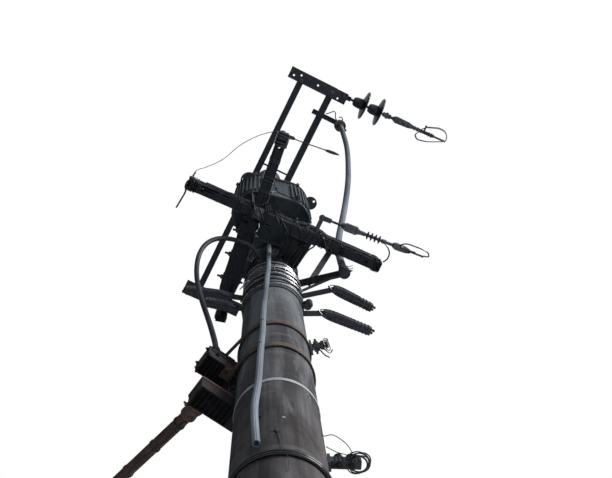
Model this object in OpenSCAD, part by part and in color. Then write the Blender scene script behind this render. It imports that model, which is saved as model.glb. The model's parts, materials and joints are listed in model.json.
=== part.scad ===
// Round concrete utility pole with timber crossarms, a steel top frame, two insulator strings,
// a hung transformer, cable fittings, boxes and a lamp arm.
// Millimetres. Z is up, the origin is the middle of the pole at ground level.
// X runs along the front crossarm, Y runs along the two rails of the top frame.

/* [Pole] */
// height of the pole above ground
pole_h = 9300; // [8400:50:10300]
// diameter at the top
pole_top_d = 230; // [200:5:240]
// diameter gained per metre going down
pole_taper = 20; // [16:1:21]

/* [Top frame] */
// distance from the pole's top down to the underside of the rails
rail_drop = 120; // [90:5:300]
// distance from the pole's middle to the front end of the frame
frame_ahead = 1038; // [960:2:1200]
// length of the rails
rail_len = 2310; // [1600:10:2600]
// leg of the rail angle
rail_leg = 56; // [45:1:70]
// steel thickness of the rails
rail_t = 6; // [5:1:8]
// length of the end bars
bar_len = 557; // [500:1:620]
// width of the front end bar
bar_w = 100; // [90:1:120]
// width of the back end bar
back_bar_w = 135; // [110:1:150]
// thickness of the end bars
bar_t = 8; // [6:0.5:10]
// height of the turned-up edge of the end bars
bar_lip = 70; // [40:1:90]

/* [Upper insulator string] */
// diameter of a disc
disc_d = 255; // [230:1:270]
// distance from disc to disc
disc_pitch = 146; // [140:1:170]

/* [Lower insulator string] */
// diameter of a shed
shed_d = 46; // [40:1:56]
// distance from shed to shed
shed_pitch = 24; // [20:1:28]

/* [Crossarms] */
// distance from the pole's top down to the middle of the front arm
arm_drop = 3039; // [2950:1:3200]
// length of the front arm
arm_a_len = 1190; // [1000:1:1400]
// width of the front arm
arm_a_w = 56; // [50:1:66]
// distance of the front arm ahead of the pole's middle
arm_a_ahead = 330; // [300:1:350]
// height of both arms
arm_h = 80; // [72:1:90]
// length of the side arm
arm_b_len = 1160; // [1000:1:1400]
// width of the side arm
arm_b_w = 56; // [50:1:64]
// distance of the side arm from the pole's middle
arm_b_side = 232; // [226:1:250]
// length of the timber cheek on the side arm
cheek_len = 420; // [300:1:440]
// thickness of the cheek
cheek_t = 34; // [24:1:44]

/* [Transformer] */
// length of the tank
tank_len = 450; // [400:2:500]
// depth of the tank
tank_dep = 286; // [276:2:296]
// height of the tank
tank_h = 500; // [420:5:600]
// radius of the tank's upright corners
tank_corner = 135; // [100:1:137]
// height of the tank above the side arm
tank_lift = 69; // [40:1:90]
// depth of a cooling fin
fin_dep = 14; // [8:1:22]
// distance from fin to fin
fin_pitch = 24; // [18:1:30]

/* [Cables] */
// diameter of the conduit on the pole's front
conduit_d = 27; // [22:1:34]
// diameter of the riser cable
riser_d = 44; // [36:1:48]
// diameter of the loop cable
loop_d = 27; // [20:1:30]

/* [Boxes] */
// width of the boxes
box_w = 96; // [90:1:104]
// distance from the pole's middle to the outer face of the boxes
box_out = 288; // [270:1:310]
// height of the upper box
upper_box_h = 75; // [60:1:80]
// height of the lamp bracket
lamp_bracket_h = 80; // [70:1:100]

/* [Lamp arm] */
// diameter of the pipe
lamp_pipe_d = 50; // [42:1:58]
// length of the pipe
lamp_pipe_len = 820; // [400:10:1500]
// rise of the pipe in degrees
lamp_rise = 23.6; // [10:0.1:35]

/* [Bands] */
// height of a flat steel band
band_h = 42; // [30:1:50]
// thickness of a flat steel band
band_t = 5; // [3:0.5:6]

/* [Hidden] */
gap = 0.3;
fa = 64;

// heights; everything on the pole keeps its distance from the pole's top
rail_z = pole_h - rail_drop;
arm_a_z = pole_h - arm_drop;
arm_b_z = arm_a_z + arm_h + gap;
tank_z = arm_b_z + arm_h / 2 + tank_lift;
riser_top_z = rail_z - 150;
riser_foot_z = pole_h - 3180;
riser_bar_t = 8;
riser_bar_z = riser_foot_z - 24 - riser_bar_t;
cleat_z = pole_h - 3110;
tie_z = [for (drop = [3138, 3150, 3260, 3302, 3310, 3375, 3470, 3478, 3535]) pole_h - drop];
service_z = [pole_h - 3420, pole_h - 3600];
rusty_z = [pole_h - 4440, pole_h - 4170];
bright_z = pole_h - 4785;
drop_bracket_z = pole_h - 5120;
wrap_z = [pole_h - 5352, pole_h - 5338];

// radii of the wires wound on the pole, and of the bolt holes that stand open
wrap_r = 6;
tie_r = 2.4;
spare_r = 9;

// top frame
rail_in = pole_r(rail_z) + gap;
bar_y0 = -frame_ahead;
back_y1 = bar_y0 + rail_len;
bar_x0 = -266;
pin_r = 8;
pin = [bar_x0 + bar_len - 26, bar_y0 + 34, rail_z - gap - bar_t / 2];
string_turn = -2.6;
stud_r = 10;
termination = [330, -765, rail_z - bar_t - 2 * gap];
shared_hole = [-160, bar_y0 + 36];
bar_holes = [[-221, bar_y0 + 63], shared_hole, [9, bar_y0 + 50], [214, bar_y0 + 75]];
squeeze_y = 145;
squeeze_up = 32;
squeeze_r = 8;

// arms
arm_a_mid = [-75, -arm_a_ahead, arm_a_z];
arm_a_turn = -1.6;
arm_b_mid = [-arm_b_side, -212, arm_b_z];
arm_b_turn = -7;
cheek_y = -25;
eye_x = 173;
eye_out = 95;
eye_pin_r = 7;
low_string_turn = -4.4;
wedge_end = 238;
shed_count = 4;
shed_first = 42;
shed_rod_len = 2 * shed_first + (shed_count - 1) * shed_pitch;

// transformer
tank_mid = [-136, -284];
tank_turn = -10.7;
lid_t = 8;

// boxes on the left of the pole: their outward direction, and how far they lie to its side
box_turn = 190;
box_side = -173;
lamp_bracket_side = -187;
upper_box_z = pole_h - 4388;
housing_h = 72;
gland_h = 133;
lamp_bracket_z = pole_h - 4675;
tail_len = [90, 157];

// route of the riser cable, from the foot of its termination down to the cup of its bracket
riser_route = [[330, -765, 9030], [330, -765, 8980], [338, -755, 8920], [356, -733, 8850],
    [378, -704, 8770], [398, -674, 8680], [412, -644, 8580], [420, -612, 8460], [425, -582, 8340],
    [428, -552, 8220], [430, -524, 8100], [429, -496, 7980], [426, -468, 7860], [421, -440, 7740],
    [415, -413, 7620], [408, -387, 7500], [399, -362, 7380], [389, -338, 7260], [378, -316, 7140],
    [366, -297, 7020], [354, -282, 6900], [343, -272, 6780], [333, -266, 6660], [325, -263, 6540],
    [320, -262, 6420], [318, -262, 6300], [318, -262, 6200], [318, -262, 6120]];

// route of the loop cable, from its cleat on the pole round to the gland of the upper box
loop_route = [[-130, -109, 6190], [-150, -126, 6190], [-172, -141, 6191], [-200, -151, 6192],
    [-232, -154, 6192], [-268, -152, 6190], [-305, -147, 6184], [-342, -140, 6172],
    [-378, -130, 6152], [-408, -117, 6124], [-431, -101, 6088], [-446, -83, 6046],
    [-454, -63, 5998], [-455, -42, 5946], [-449, -20, 5890], [-437, 1, 5828], [-420, 20, 5760],
    [-398, 36, 5686], [-373, 48, 5608], [-347, 57, 5528], [-322, 63, 5446], [-299, 68, 5364],
    [-279, 72, 5284], [-264, 75, 5216], [-254, 76, 5164], [-254, 76, 5120]];
cord_sides = 10;

// radius of the pole at a height
function pole_r(z) = (pole_top_d + pole_taper * (pole_h - z) / 1000) / 2;

// a plan point turned by an angle
function turned(p, a) = [p[0] * cos(a) - p[1] * sin(a), p[0] * sin(a) + p[1] * cos(a)];

// the pole's middle in the plan frame of a piece with its own middle and turn
function pole_seen_from(mid, a) = turned([-mid[0], -mid[1]], -a);

// straight round bar between two points
module rod(p, q, r) {
    d = q - p;
    len = norm(d);
    translate(p)
        rotate([0, acos(d[2] / len), atan2(d[1], d[0])])
            cylinder(h = len, r = r, $fn = fa);
}

// round tube through a row of points, with a slightly fuller ball at each bend
module run(pts, r) {
    for (i = [0 : len(pts) - 2])
        rod(pts[i], pts[i + 1], r);
    for (i = [1 : len(pts) - 2])
        translate(pts[i])
            sphere(r = 1.04 * r, $fn = fa);
}

// direction of a route at one of its points
function unit(v) = v / norm(v);
function heading(route, i) =
    let (last = len(route) - 1)
    unit(route[min(i + 1, last)] - route[max(i - 1, 0)]);

// ring of points square to the route, turned against a fixed side direction
function ring(route, i, r, side) =
    let (t = heading(route, i), u = unit(cross(side, t)), v = cross(t, u))
    [for (k = [0 : cord_sides - 1])
        route[i] + r * (cos(360 * k / cord_sides) * u + sin(360 * k / cord_sides) * v)];

// free cable as one closed tube along its route
module cord(route, r, side) {
    n = len(route);
    s = cord_sides;
    points = [for (i = [0 : n - 1]) each ring(route, i, r, side)];
    walls = [for (i = [0 : n - 2], k = [0 : s - 1])
        [i * s + k, (i + 1) * s + k, (i + 1) * s + (k + 1) % s, i * s + (k + 1) % s]];
    start_cap = [for (k = [0 : s - 1]) k];
    end_cap = [for (k = [s - 1 : -1 : 0]) (n - 1) * s + k];
    polyhedron(points = points, faces = concat(walls, [start_cap, end_cap]));
}

// the pole's outside grown by a clearance, between two heights
module pole_space(z0, z1, clear) {
    translate([0, 0, z0])
        cylinder(h = z1 - z0, r1 = pole_r(z0) + clear, r2 = pole_r(z1) + clear, $fn = fa);
}

// flat band that follows the taper of the pole
module band(z, h, t) {
    difference() {
        pole_space(z, z + h, gap + t);
        pole_space(z - 1, z + h + 1, gap);
    }
}

// pair of ears with the bolt that draws a band together
module band_ears(z, h, t, turn) {
    rotate([0, 0, turn]) {
        for (s = [-1, 1])
            translate([pole_r(z) + t - 2, s * 9 - t / 2, z + 2])
                cube([34, t, h - 4]);
        translate([pole_r(z) + t + 20, -22, z + h / 2])
            rotate([-90, 0, 0])
                cylinder(h = 44, r = 6, $fn = fa);
    }
}

// flat strap that leaves a band straight on, with the clamp at its end
module band_tail(z, turn, len) {
    rotate([0, 0, turn])
        translate([pole_r(z + band_h) + gap, 0, z]) {
            translate([0, -len, 0])
                cube([band_t, len, band_h]);
            translate([-7, -len - 22, 6])
                cube([19, 30, band_h - 12]);
        }
}

module pole() {
    color("#6f767c")
        cylinder(h = pole_h, r1 = pole_r(0), r2 = pole_top_d / 2, $fn = fa);
}

module rusty_bands() {
    color("#7f726d")
        for (i = [0, 1]) {
            band(rusty_z[i], band_h, band_t);
            band_tail(rusty_z[i], 197, tail_len[i]);
        }
}

module bright_band() {
    color("#c8ccd0")
        band(bright_z, 20, 2);
}

// one turn of wire lying on the pole
module wire_turn(z, r) {
    translate([0, 0, z])
        rotate_extrude($fn = fa)
            translate([pole_r(z - r) + gap + r, 0])
                circle(r = r, $fn = fa);
}

module wire_wrap() {
    color("#1c1e22")
        for (z = wrap_z)
            wire_turn(z, wrap_r);
}

module cable_wraps() {
    color("#23262b")
        for (z = tie_z)
            wire_turn(z, tie_r);
}

// angle steel rail on one side of the pole; the left one shares an open hole with the front bar
module rail(s) {
    x0 = s > 0 ? rail_in : -rail_in - rail_leg;
    web_x0 = s > 0 ? rail_in : -rail_in - rail_t;
    y0 = bar_y0 + rail_t + gap;
    len = rail_len - 2 * (rail_t + gap);
    difference() {
        union() {
            translate([x0, y0, rail_z])
                cube([rail_leg, len, rail_t]);
            translate([web_x0, y0, rail_z])
                cube([rail_t, len, rail_leg]);
        }
        translate([shared_hole[0], shared_hole[1], rail_z - 1])
            cylinder(h = rail_t + 2, r = spare_r, $fn = fa);
        for (y = [-squeeze_y, squeeze_y])
            translate([s * rail_in, y, rail_z + squeeze_up])
                rotate([0, 90, 0])
                    cylinder(h = 3 * rail_t, r = squeeze_r + gap, center = true, $fn = fa);
    }
}

module rail_left() {
    color("#2e383e")
        rail(-1);
}

module rail_right() {
    color("#2e383e")
        rail(1);
}

// plate under the rails with a turned-up outer edge; the edge stops short of the string's pin
module front_end_bar() {
    color("#2b323a")
        difference() {
            translate([bar_x0, bar_y0, rail_z - bar_t]) {
                cube([bar_len, bar_w, bar_t - gap]);
                cube([bar_len - 110, rail_t, bar_lip]);
            }
            for (p = bar_holes)
                translate([p[0], p[1], rail_z - 20])
                    cylinder(h = 40, r = spare_r, $fn = fa);
            translate([pin[0], pin[1], rail_z - 20])
                cylinder(h = 40, r = pin_r + gap, $fn = fa);
        }
}

module back_end_bar() {
    color("#2b323a")
        difference() {
            translate([bar_x0 - 10, back_y1 - back_bar_w, rail_z - bar_t]) {
                cube([bar_len, back_bar_w, bar_t - gap]);
                translate([0, back_bar_w - rail_t, 0])
                    cube([bar_len, rail_t, bar_lip]);
            }
            for (x = [-225, 0, 225])
                translate([x, back_y1 - 60, rail_z - 20])
                    cylinder(h = 40, r = spare_r, $fn = fa);
        }
}

// two long bolts that squeeze the rails against the pole
module rail_bolts() {
    color("#3a4046")
        for (y = [-squeeze_y, squeeze_y])
            translate([0, y, rail_z + squeeze_up])
                rotate([0, 90, 0]) {
                    cylinder(h = 2 * rail_in + 60, r = squeeze_r, center = true, $fn = fa);
                    for (s = [-1, 1])
                        translate([0, 0, s * (rail_in + rail_t + gap + 7)])
                            cylinder(h = 14, r = 14, center = true, $fn = 6);
                }
}

// frame of the upper string: its pin is the origin and X runs along the string
link_end = 86;
cap_len = 92;

module on_string() {
    translate(pin)
        rotate([0, 0, string_turn])
            children();
}

// fork round the end bar, its pin, and the ball-ended link
module string_clevis() {
    color("#2f353b")
        on_string() {
            for (s = [-1, 1])
                translate([0, 0, s * (bar_t / 2 + 7)]) {
                    cylinder(h = 8, r = 20, center = true, $fn = fa);
                    translate([0, -20, -4])
                        cube([50, 40, 8]);
                }
            translate([40, -20, -bar_t / 2 - 11])
                cube([20, 40, bar_t + 22]);
            cylinder(h = 52, r = pin_r, center = true, $fn = fa);
            rod([55, 0, 0], [link_end, 0, 0], 11);
        }
}

// iron cap and glazed shed of one disc, with the pin that enters the next cap
module disc_unit(x) {
    r = disc_d / 2;
    on_string()
        translate([x, 0, 0])
            rotate([0, 90, 0])
                rotate_extrude($fn = fa)
                    polygon([[0, -cap_len], [26, -cap_len], [36, -84], [44, -60], [47, -12], [62, -8],
                        [r - 8, 6], [r, 14], [r - 6, 22], [100, 14], [92, 26], [84, 12], [66, 12],
                        [58, 26], [50, 12], [24, 14], [18, 40], [10, 44],
                        [10, disc_pitch - cap_len - gap], [0, disc_pitch - cap_len - gap]]);
}

disc_x = link_end + gap + cap_len;

module disc_one() {
    color("#555961")
        disc_unit(disc_x);
}

module disc_two() {
    color("#555961")
        disc_unit(disc_x + disc_pitch);
}

// socket, link, bolted clamp body and the stub of conductor that it grips
module dead_end_clamp() {
    color("#4a5056")
        on_string()
            translate([disc_x + 2 * disc_pitch - cap_len, 0, 0]) {
                translate([0, -20, -14])
                    cube([72, 40, 28]);
                rod([60, 0, 0], [120, 0, 0], 13);
                translate([0, 0, -20])
                    linear_extrude(40)
                        polygon([[100, -16], [126, -30], [250, -26], [300, -15],
                            [300, 15], [250, 26], [126, 30], [100, 16]]);
                translate([290, -15, -24])
                    cube([210, 30, 30]);
                rod([480, 0, -10], [620, 0, -10], 9);
                for (x = [150, 200, 250])
                    translate([x, 0, 16])
                        cylinder(h = 28, r = 9, $fn = 6);
                rod([404, 10, -9], [404, -62, -9], 8);
            }
}

// angle bracket under the right rail, with the hole for the termination's stud
module cable_bracket() {
    x0 = 64;
    color("#2f353b")
        difference() {
            union() {
                translate([x0, termination[1] - 25, rail_z - bar_t])
                    cube([termination[0] - x0 + 24, 44, bar_t - gap]);
                translate([x0, termination[1] - 25, rail_z - 48])
                    cube([termination[0] - x0 - 56, 6, 48 - gap]);
            }
            translate([termination[0], termination[1], rail_z - 20])
                cylinder(h = 40, r = stud_r + gap, $fn = fa);
        }
}

// brown shedded cable end with its stud and nut
module cable_termination() {
    h = termination[2] - riser_top_z;
    color("#5b4238")
        translate([termination[0], termination[1], riser_top_z]) {
            rotate_extrude($fn = fa)
                polygon([[0, 0], [26, 0], [26, 12], [51, 17], [51, 25], [26, 38], [26, 50],
                    [51, 55], [51, 63], [26, 76], [26, 92], [34, 104], [34, h], [0, h]]);
            cylinder(h = h + 50, r = stud_r, $fn = fa);
            translate([0, 0, h + bar_t + gap])
                cylinder(h = 14, r = 17, $fn = 6);
        }
}

module riser_cable() {
    color("#5c6573")
        cord(riser_route, riser_d / 2, [0, 1, 0]);
}

// band, radial bar with a cup at its tip, and a diagonal strut under it
module riser_bracket() {
    foot = riser_route[len(riser_route) - 1];
    reach = norm([foot[0], foot[1]]);
    turn = atan2(foot[1], foot[0]);
    color("#33393f") {
        difference() {
            union() {
                rotate([0, 0, turn]) {
                    translate([60, -20, riser_bar_z])
                        cube([reach - 60, 40, riser_bar_t]);
                    translate([60, -20, riser_bar_z - 160])
                        cube([pole_r(riser_bar_z) - 60 + 14, 40, 46]);
                    translate([0, 3, 0])
                        rotate([90, 0, 0])
                            linear_extrude(6)
                                polygon([[60, riser_bar_z - 152], [pole_r(riser_bar_z) + 10, riser_bar_z - 152],
                                    [reach - 24, riser_bar_z - 18], [reach - 24, riser_bar_z + 4],
                                    [reach - 44, riser_bar_z + 4], [pole_r(riser_bar_z) + 4, riser_bar_z - 124],
                                    [60, riser_bar_z - 124]]);
                }
                pole_space(riser_bar_z - 12, riser_bar_z + 20, gap + band_t);
            }
            pole_space(riser_bar_z - 200, riser_bar_z + 60, gap);
        }
        translate([foot[0], foot[1], riser_bar_z - 10])
            cylinder(h = riser_foot_z - riser_bar_z + 10, r = riser_d / 2 + 9, $fn = fa);
    }
}

// frames of the two crossarms: origin in the arm's middle, long side along X and along Y
module on_arm_a() {
    translate(arm_a_mid)
        rotate([0, 0, arm_a_turn])
            children();
}

module on_arm_b() {
    translate(arm_b_mid)
        rotate([0, 0, arm_b_turn])
            children();
}

module front_crossarm() {
    color("#1d1e26")
        on_arm_a()
            difference() {
                cube([arm_a_len, arm_a_w, arm_h], center = true);
                for (s = [-1, 1])
                    translate([s * (arm_a_len / 2 - 90), 0, 0])
                        cylinder(h = 2 * arm_h, r = spare_r, center = true, $fn = fa);
            }
}

module side_crossarm() {
    color("#14171f")
        on_arm_b()
            difference() {
                cube([arm_b_w, arm_b_len, arm_h], center = true);
                for (s = [-1, 1])
                    translate([0, s * (arm_b_len / 2 - 90), 0])
                        cylinder(h = 2 * arm_h, r = spare_r, center = true, $fn = fa);
            }
}

module side_arm_cheek() {
    color("#181a20")
        on_arm_b()
            translate([-arm_b_w / 2 - gap - cheek_t, cheek_y, -arm_h / 2])
                cube([cheek_t, cheek_len, arm_h]);
}

// band round the pole, face plate behind the front arm, and the gusset between them
module front_arm_bracket() {
    face_y = arm_a_w / 2 + gap;
    hub = pole_seen_from(arm_a_mid, arm_a_turn);
    color("#33393f")
        difference() {
            union() {
                pole_space(arm_a_z - 30, arm_a_z + 30, gap + band_t);
                on_arm_a() {
                    translate([11, face_y, -36])
                        cube([190, 8, 72]);
                    translate([0, 0, -4])
                        linear_extrude(8)
                            polygon([[21, face_y + 4], [185, face_y + 4],
                                [hub[0] + 85, hub[1] - 60], [hub[0] - 30, hub[1] - 60]]);
                }
            }
            pole_space(arm_a_z - 60, arm_a_z + 60, gap);
        }
}

// band round the pole and the block that carries the side arm
module side_arm_bracket() {
    face_x = arm_b_w / 2 + gap;
    hub = pole_seen_from(arm_b_mid, arm_b_turn);
    color("#33393f")
        difference() {
            union() {
                pole_space(arm_b_z - 20, arm_b_z + 20, gap + band_t);
                on_arm_b()
                    translate([face_x, hub[1] - 55, -30])
                        cube([hub[0] - face_x - 60, 110, 60]);
            }
            pole_space(arm_b_z - 60, arm_b_z + 60, gap);
        }
}

// bent flat bar from the riser bracket up to the back of the front arm
module arm_brace() {
    low = [172, -142, riser_bar_z + riser_bar_t + gap];
    high = [222, -306, arm_a_z - 6];
    run = norm([high[0] - low[0], high[1] - low[1]]);
    turn = atan2(high[1] - low[1], high[0] - low[0]);
    color("#33393f")
        difference() {
            union() {
                translate(low)
                    rotate([0, 0, turn])
                        rotate([90, 0, 0])
                            translate([0, 0, -17])
                                linear_extrude(34)
                                    polygon([[-34, 0], [8, 0], [run + 30, high[2] - low[2] + 24],
                                        [run + 30, high[2] - low[2] + 32], [4, 6], [-34, 6]]);
                on_arm_a()
                    translate([270, arm_a_w / 2 + gap, -26])
                        cube([50, 14, 54]);
            }
            on_arm_a()
                translate([200, -arm_a_w / 2 - 60 + gap, -100])
                    cube([200, arm_a_w + 60, 200]);
        }
}

// frame of the lower string: its pin is the origin and X runs along the string
module on_low_string() {
    on_arm_a()
        translate([eye_x, -arm_a_w / 2 - eye_out, 0])
            rotate([0, 0, low_string_turn - arm_a_turn])
                children();
}

// plate on the front arm with an eye that stands out from it
module low_string_eye() {
    color("#2f353b")
        on_arm_a()
            difference() {
                translate([eye_x, -arm_a_w / 2 - gap, 0]) {
                    translate([-35, -8, -35])
                        cube([70, 8, 70]);
                    translate([-12, -eye_out + gap, -5])
                        cube([24, eye_out - 4, 10]);
                    translate([0, -eye_out + gap, 0])
                        cylinder(h = 10, r = 18, center = true, $fn = fa);
                }
                translate([eye_x, -arm_a_w / 2 - eye_out, 0])
                    cylinder(h = 40, r = eye_pin_r + gap, center = true, $fn = fa);
            }
}

// fork with its pin, then a link and the wedge body
module low_string_link() {
    color("#454b51")
        on_low_string() {
            for (s = [-1, 1])
                translate([0, 0, s * 11]) {
                    cylinder(h = 6, r = 15, center = true, $fn = fa);
                    translate([0, -12, -3])
                        cube([46, 24, 6]);
                }
            translate([38, -12, -14])
                cube([16, 24, 28]);
            cylinder(h = 40, r = eye_pin_r, center = true, $fn = fa);
            rod([50, 0, 0], [122, 0, 0], 7);
            translate([0, 0, -16])
                linear_extrude(32)
                    polygon([[118, -9], [150, -22], [205, -20], [wedge_end, -9],
                        [wedge_end, 9], [205, 20], [150, 22], [118, 9]]);
        }
}

// rod insulator with its sheds between two metal ends
module polymer_insulator() {
    total = shed_rod_len;
    color("#6b7178")
        on_low_string()
            translate([wedge_end + gap, 0, 0])
                rotate([0, 90, 0])
                    rotate_extrude($fn = fa)
                        polygon(concat([[0, 0], [12, 0], [12, 24], [9, 28]],
                            [for (i = [0 : shed_count - 1]) each
                                let (z = shed_first + i * shed_pitch)
                                [[9, z - 6], [shed_d / 2, z - 1], [shed_d / 2, z + 1], [9, z + 5]]],
                            [[9, total - 28], [12, total - 24], [12, total], [0, total]]));
}

// second clamp of the lower string with the stub of conductor that it grips
module low_dead_end() {
    color("#4a5056")
        on_low_string()
            translate([wedge_end + shed_rod_len + 2 * gap, 0, 0]) {
                rod([0, 0, 0], [46, 0, 0], 8);
                translate([0, 0, -15])
                    linear_extrude(30)
                        polygon([[40, -10], [60, -19], [120, -17], [150, -9],
                            [150, 9], [120, 17], [60, 19], [40, 10]]);
                rod([140, 0, 0], [235, 0, 0], 6);
            }
}

// plan of the tank, grown or shrunk evenly
module tank_plan(grow) {
    r = tank_corner + grow;
    w = tank_len + 2 * grow;
    d = tank_dep + 2 * grow;
    square([w - 2 * r, d], center = true);
    square([w, d - 2 * r], center = true);
    for (sx = [-1, 1])
        for (sy = [-1, 1])
            translate([sx * (w / 2 - r), sy * (d / 2 - r)])
                circle(r = r, $fn = fa);
}

module at_tank() {
    translate([tank_mid[0], tank_mid[1], tank_z])
        rotate([0, 0, tank_turn])
            children();
}

// tank with a bottom set up inside its skirt and a rim for the lid
module tank() {
    rim = 10;
    color("#3c464e")
        at_tank() {
            difference() {
                linear_extrude(tank_h)
                    tank_plan(0);
                translate([0, 0, -1])
                    linear_extrude(13)
                        tank_plan(-6);
            }
            translate([0, 0, tank_h - 8])
                linear_extrude(8)
                    tank_plan(rim);
        }
}

module tank_lid() {
    color("#3c464e")
        at_tank()
            translate([0, 0, tank_h + gap]) {
                linear_extrude(lid_t)
                    tank_plan(12);
                for (s = [-1, 1])
                    translate([s * 70, -40, 0])
                        cylinder(h = 22, r = 13, $fn = 6);
            }
}

// upright cooling fins round both ends of the tank; at the back they stop short of the hanging lugs
module tank_fins() {
    fin_t = 9;
    z0 = 40;
    h = tank_h - 100;
    flat_x = tank_len / 2 - tank_corner;
    flat_y = tank_dep / 2 - tank_corner;
    side_count = floor(flat_y / fin_pitch);
    corner_step = fin_pitch / (tank_corner + fin_dep) * 180 / PI;
    corner_count = floor(90 / corner_step) - 1;
    corner_spread = 90 / (corner_count + 1);
    color("#39434b")
        at_tank()
            for (s = [-1, 1]) {
                for (i = [-side_count : side_count])
                    translate([s * (tank_len / 2 + gap + fin_dep / 2), i * fin_pitch, z0 + h / 2])
                        cube([fin_dep, fin_t, h], center = true);
                for (c = [-1, 1])
                    for (k = [1 : corner_count - (c > 0 ? 2 : 0)])
                        translate([s * flat_x, c * flat_y, z0])
                            rotate([0, 0, (s > 0 ? 0 : 180) + s * c * k * corner_spread])
                                translate([tank_corner + gap, -fin_t / 2, 0])
                                    cube([fin_dep, fin_t, h]);
                translate([s * flat_x, -tank_dep / 2 - gap - fin_dep / 2, z0 + h / 2])
                    cube([fin_t, fin_dep, h], center = true);
            }
}

// heights of the two hanging bands above the tank's bottom
hang_z = [95, 375];
hang_h = 50;

// hanging lugs on the tank's back and the two lifting lugs on its front corners
module tank_lugs() {
    hub = pole_seen_from(tank_mid, tank_turn);
    color("#333c43") {
        difference() {
            at_tank()
                for (z = hang_z)
                    translate([hub[0] - 55, tank_dep / 2 + gap, z])
                        cube([110, 42, hang_h]);
            pole_space(tank_z, tank_z + tank_h, band_t + 2 * gap);
        }
        at_tank()
            difference() {
                union() {
                    translate([-172, -105, tank_h - 46])
                        cylinder(h = 10, r = 54, $fn = fa);
                    translate([243, -66, tank_h - 46])
                        cylinder(h = 10, r = 42, $fn = fa);
                }
                for (p = [[-209, -102], [262, -82]])
                    translate([p[0], p[1], tank_h - 60])
                        cylinder(h = 40, r = 8, $fn = fa);
                translate([0, 0, tank_h - 60])
                    linear_extrude(40)
                        tank_plan(gap);
            }
    }
}

module tank_bands() {
    color("#33393f")
        for (z = hang_z)
            band(tank_z + z, hang_h, band_t);
}

module high_bushings() {
    color("#5b4238")
        at_tank()
            for (x = [-140, 0, 140])
                translate([x, -20, tank_h + lid_t + 2 * gap])
                    rotate_extrude($fn = fa)
                        polygon([[0, 0], [34, 0], [34, 20], [50, 26], [50, 36], [28, 50], [28, 70],
                            [46, 76], [46, 86], [26, 100], [26, 120], [42, 126], [42, 136],
                            [22, 150], [22, 190], [8, 196], [8, 230], [0, 230]]);
}

module low_bushings() {
    color("#5b4238")
        at_tank()
            for (x = [-120, -40, 40, 120])
                translate([x, 84, tank_h + lid_t + 2 * gap])
                    rotate_extrude($fn = fa)
                        polygon([[0, 0], [22, 0], [22, 12], [28, 18], [28, 30], [15, 40],
                            [15, 58], [7, 62], [7, 82], [0, 82]]);
}

// conduit held against the front of the pole over the bands
function on_pole(a, z) =
    let (r = pole_r(z) + band_t + 2 * gap + conduit_d / 2)
    [r * cos(a), r * sin(a), z];
conduit_low = pole_h - 5285;
conduit_top = tank_z - 20;
conduit_len = conduit_top - conduit_low;
conduit_turns = [-139, -142, -138, -136, -133, -132, -128, -123, -121];
conduit_shares = [0, 0.107, 0.2, 0.307, 0.422, 0.525, 0.664, 0.832, 1];

module front_conduit() {
    color("#8790a0")
        run([for (i = [0 : len(conduit_turns) - 1])
            on_pole(conduit_turns[i], conduit_low + conduit_shares[i] * conduit_len)], conduit_d / 2);
}

module loop_cable() {
    color("#3f454c")
        cord(loop_route, loop_d / 2, [0, 1, 1]);
}

// block on the pole that holds the start of the loop cable
module loop_cleat() {
    start = loop_route[0];
    reach = norm([start[0], start[1]]);
    turn = atan2(start[1], start[0]);
    color("#33393f")
        difference() {
            rotate([0, 0, turn])
                translate([reach - 70, -15, cleat_z - 18])
                    cube([70 - gap, 30, 36]);
            pole_space(cleat_z - 60, cleat_z + 60, gap);
        }
}

// frame of the boxes: X points out from the pole
module at_boxes() {
    rotate([0, 0, box_turn])
        children();
}

// two lengths of channel that stand between the lamp bracket, the upper box and the upper band
module box_backplate() {
    low = lamp_bracket_z + lamp_bracket_h + gap;
    mid = upper_box_z + upper_box_h + gap;
    color("#3a3f45")
        difference() {
            at_boxes()
                for (part = [[low, upper_box_z - gap], [mid, rusty_z[1] - gap]])
                    difference() {
                        translate([95, box_side, part[0]])
                            cube([55, 56, part[1] - part[0]]);
                        translate([122, box_side - 1, part[0] - 1])
                            cube([40, 48, part[1] - part[0] + 2]);
                    }
            pole_space(low - band_h, rusty_z[1] + band_h, band_t + 2 * gap);
        }
}

// ribs cut across the underside of a box
module underside_ribs(x0, y0, z, len, count) {
    rib = 9;
    step = (len - rib) / count;
    for (i = [0 : count - 1])
        translate([x0 + rib + i * step, y0 + 8, z - 1])
            cube([step - rib, box_w - 16, 13]);
}

// ribbed black box with a smaller housing and a cable gland on top
module upper_box() {
    gland = loop_route[len(loop_route) - 1];
    roof = upper_box_z + upper_box_h;
    color("#1a1b20") {
        difference() {
            at_boxes() {
                difference() {
                    translate([60, box_side, upper_box_z])
                        cube([box_out - 60, box_w, upper_box_h]);
                    underside_ribs(150, box_side, upper_box_z, box_out - 150, 7);
                }
                translate([box_out - 8, box_side - 5, upper_box_z + 6])
                    cube([8, box_w + 10, upper_box_h + 6]);
                translate([152, box_side + 14, roof - 1])
                    cube([box_out - 182, box_w - 28, housing_h]);
            }
            pole_space(upper_box_z - band_h, roof + housing_h + band_h, band_t + 2 * gap);
        }
        translate([gland[0], gland[1], roof])
            cylinder(h = gland_h - gap, r = loop_d / 2 + 7, $fn = fa);
    }
}

// ribbed iron bracket of the lamp arm
module lamp_bracket() {
    color("#1a1b20")
        difference() {
            at_boxes()
                difference() {
                    translate([80, lamp_bracket_side, lamp_bracket_z])
                        cube([box_out - 80, box_w, lamp_bracket_h]);
                    underside_ribs(112, lamp_bracket_side, lamp_bracket_z, box_out - 112, 8);
                }
            pole_space(lamp_bracket_z - band_h, lamp_bracket_z + lamp_bracket_h + band_h, gap);
        }
}

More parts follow.
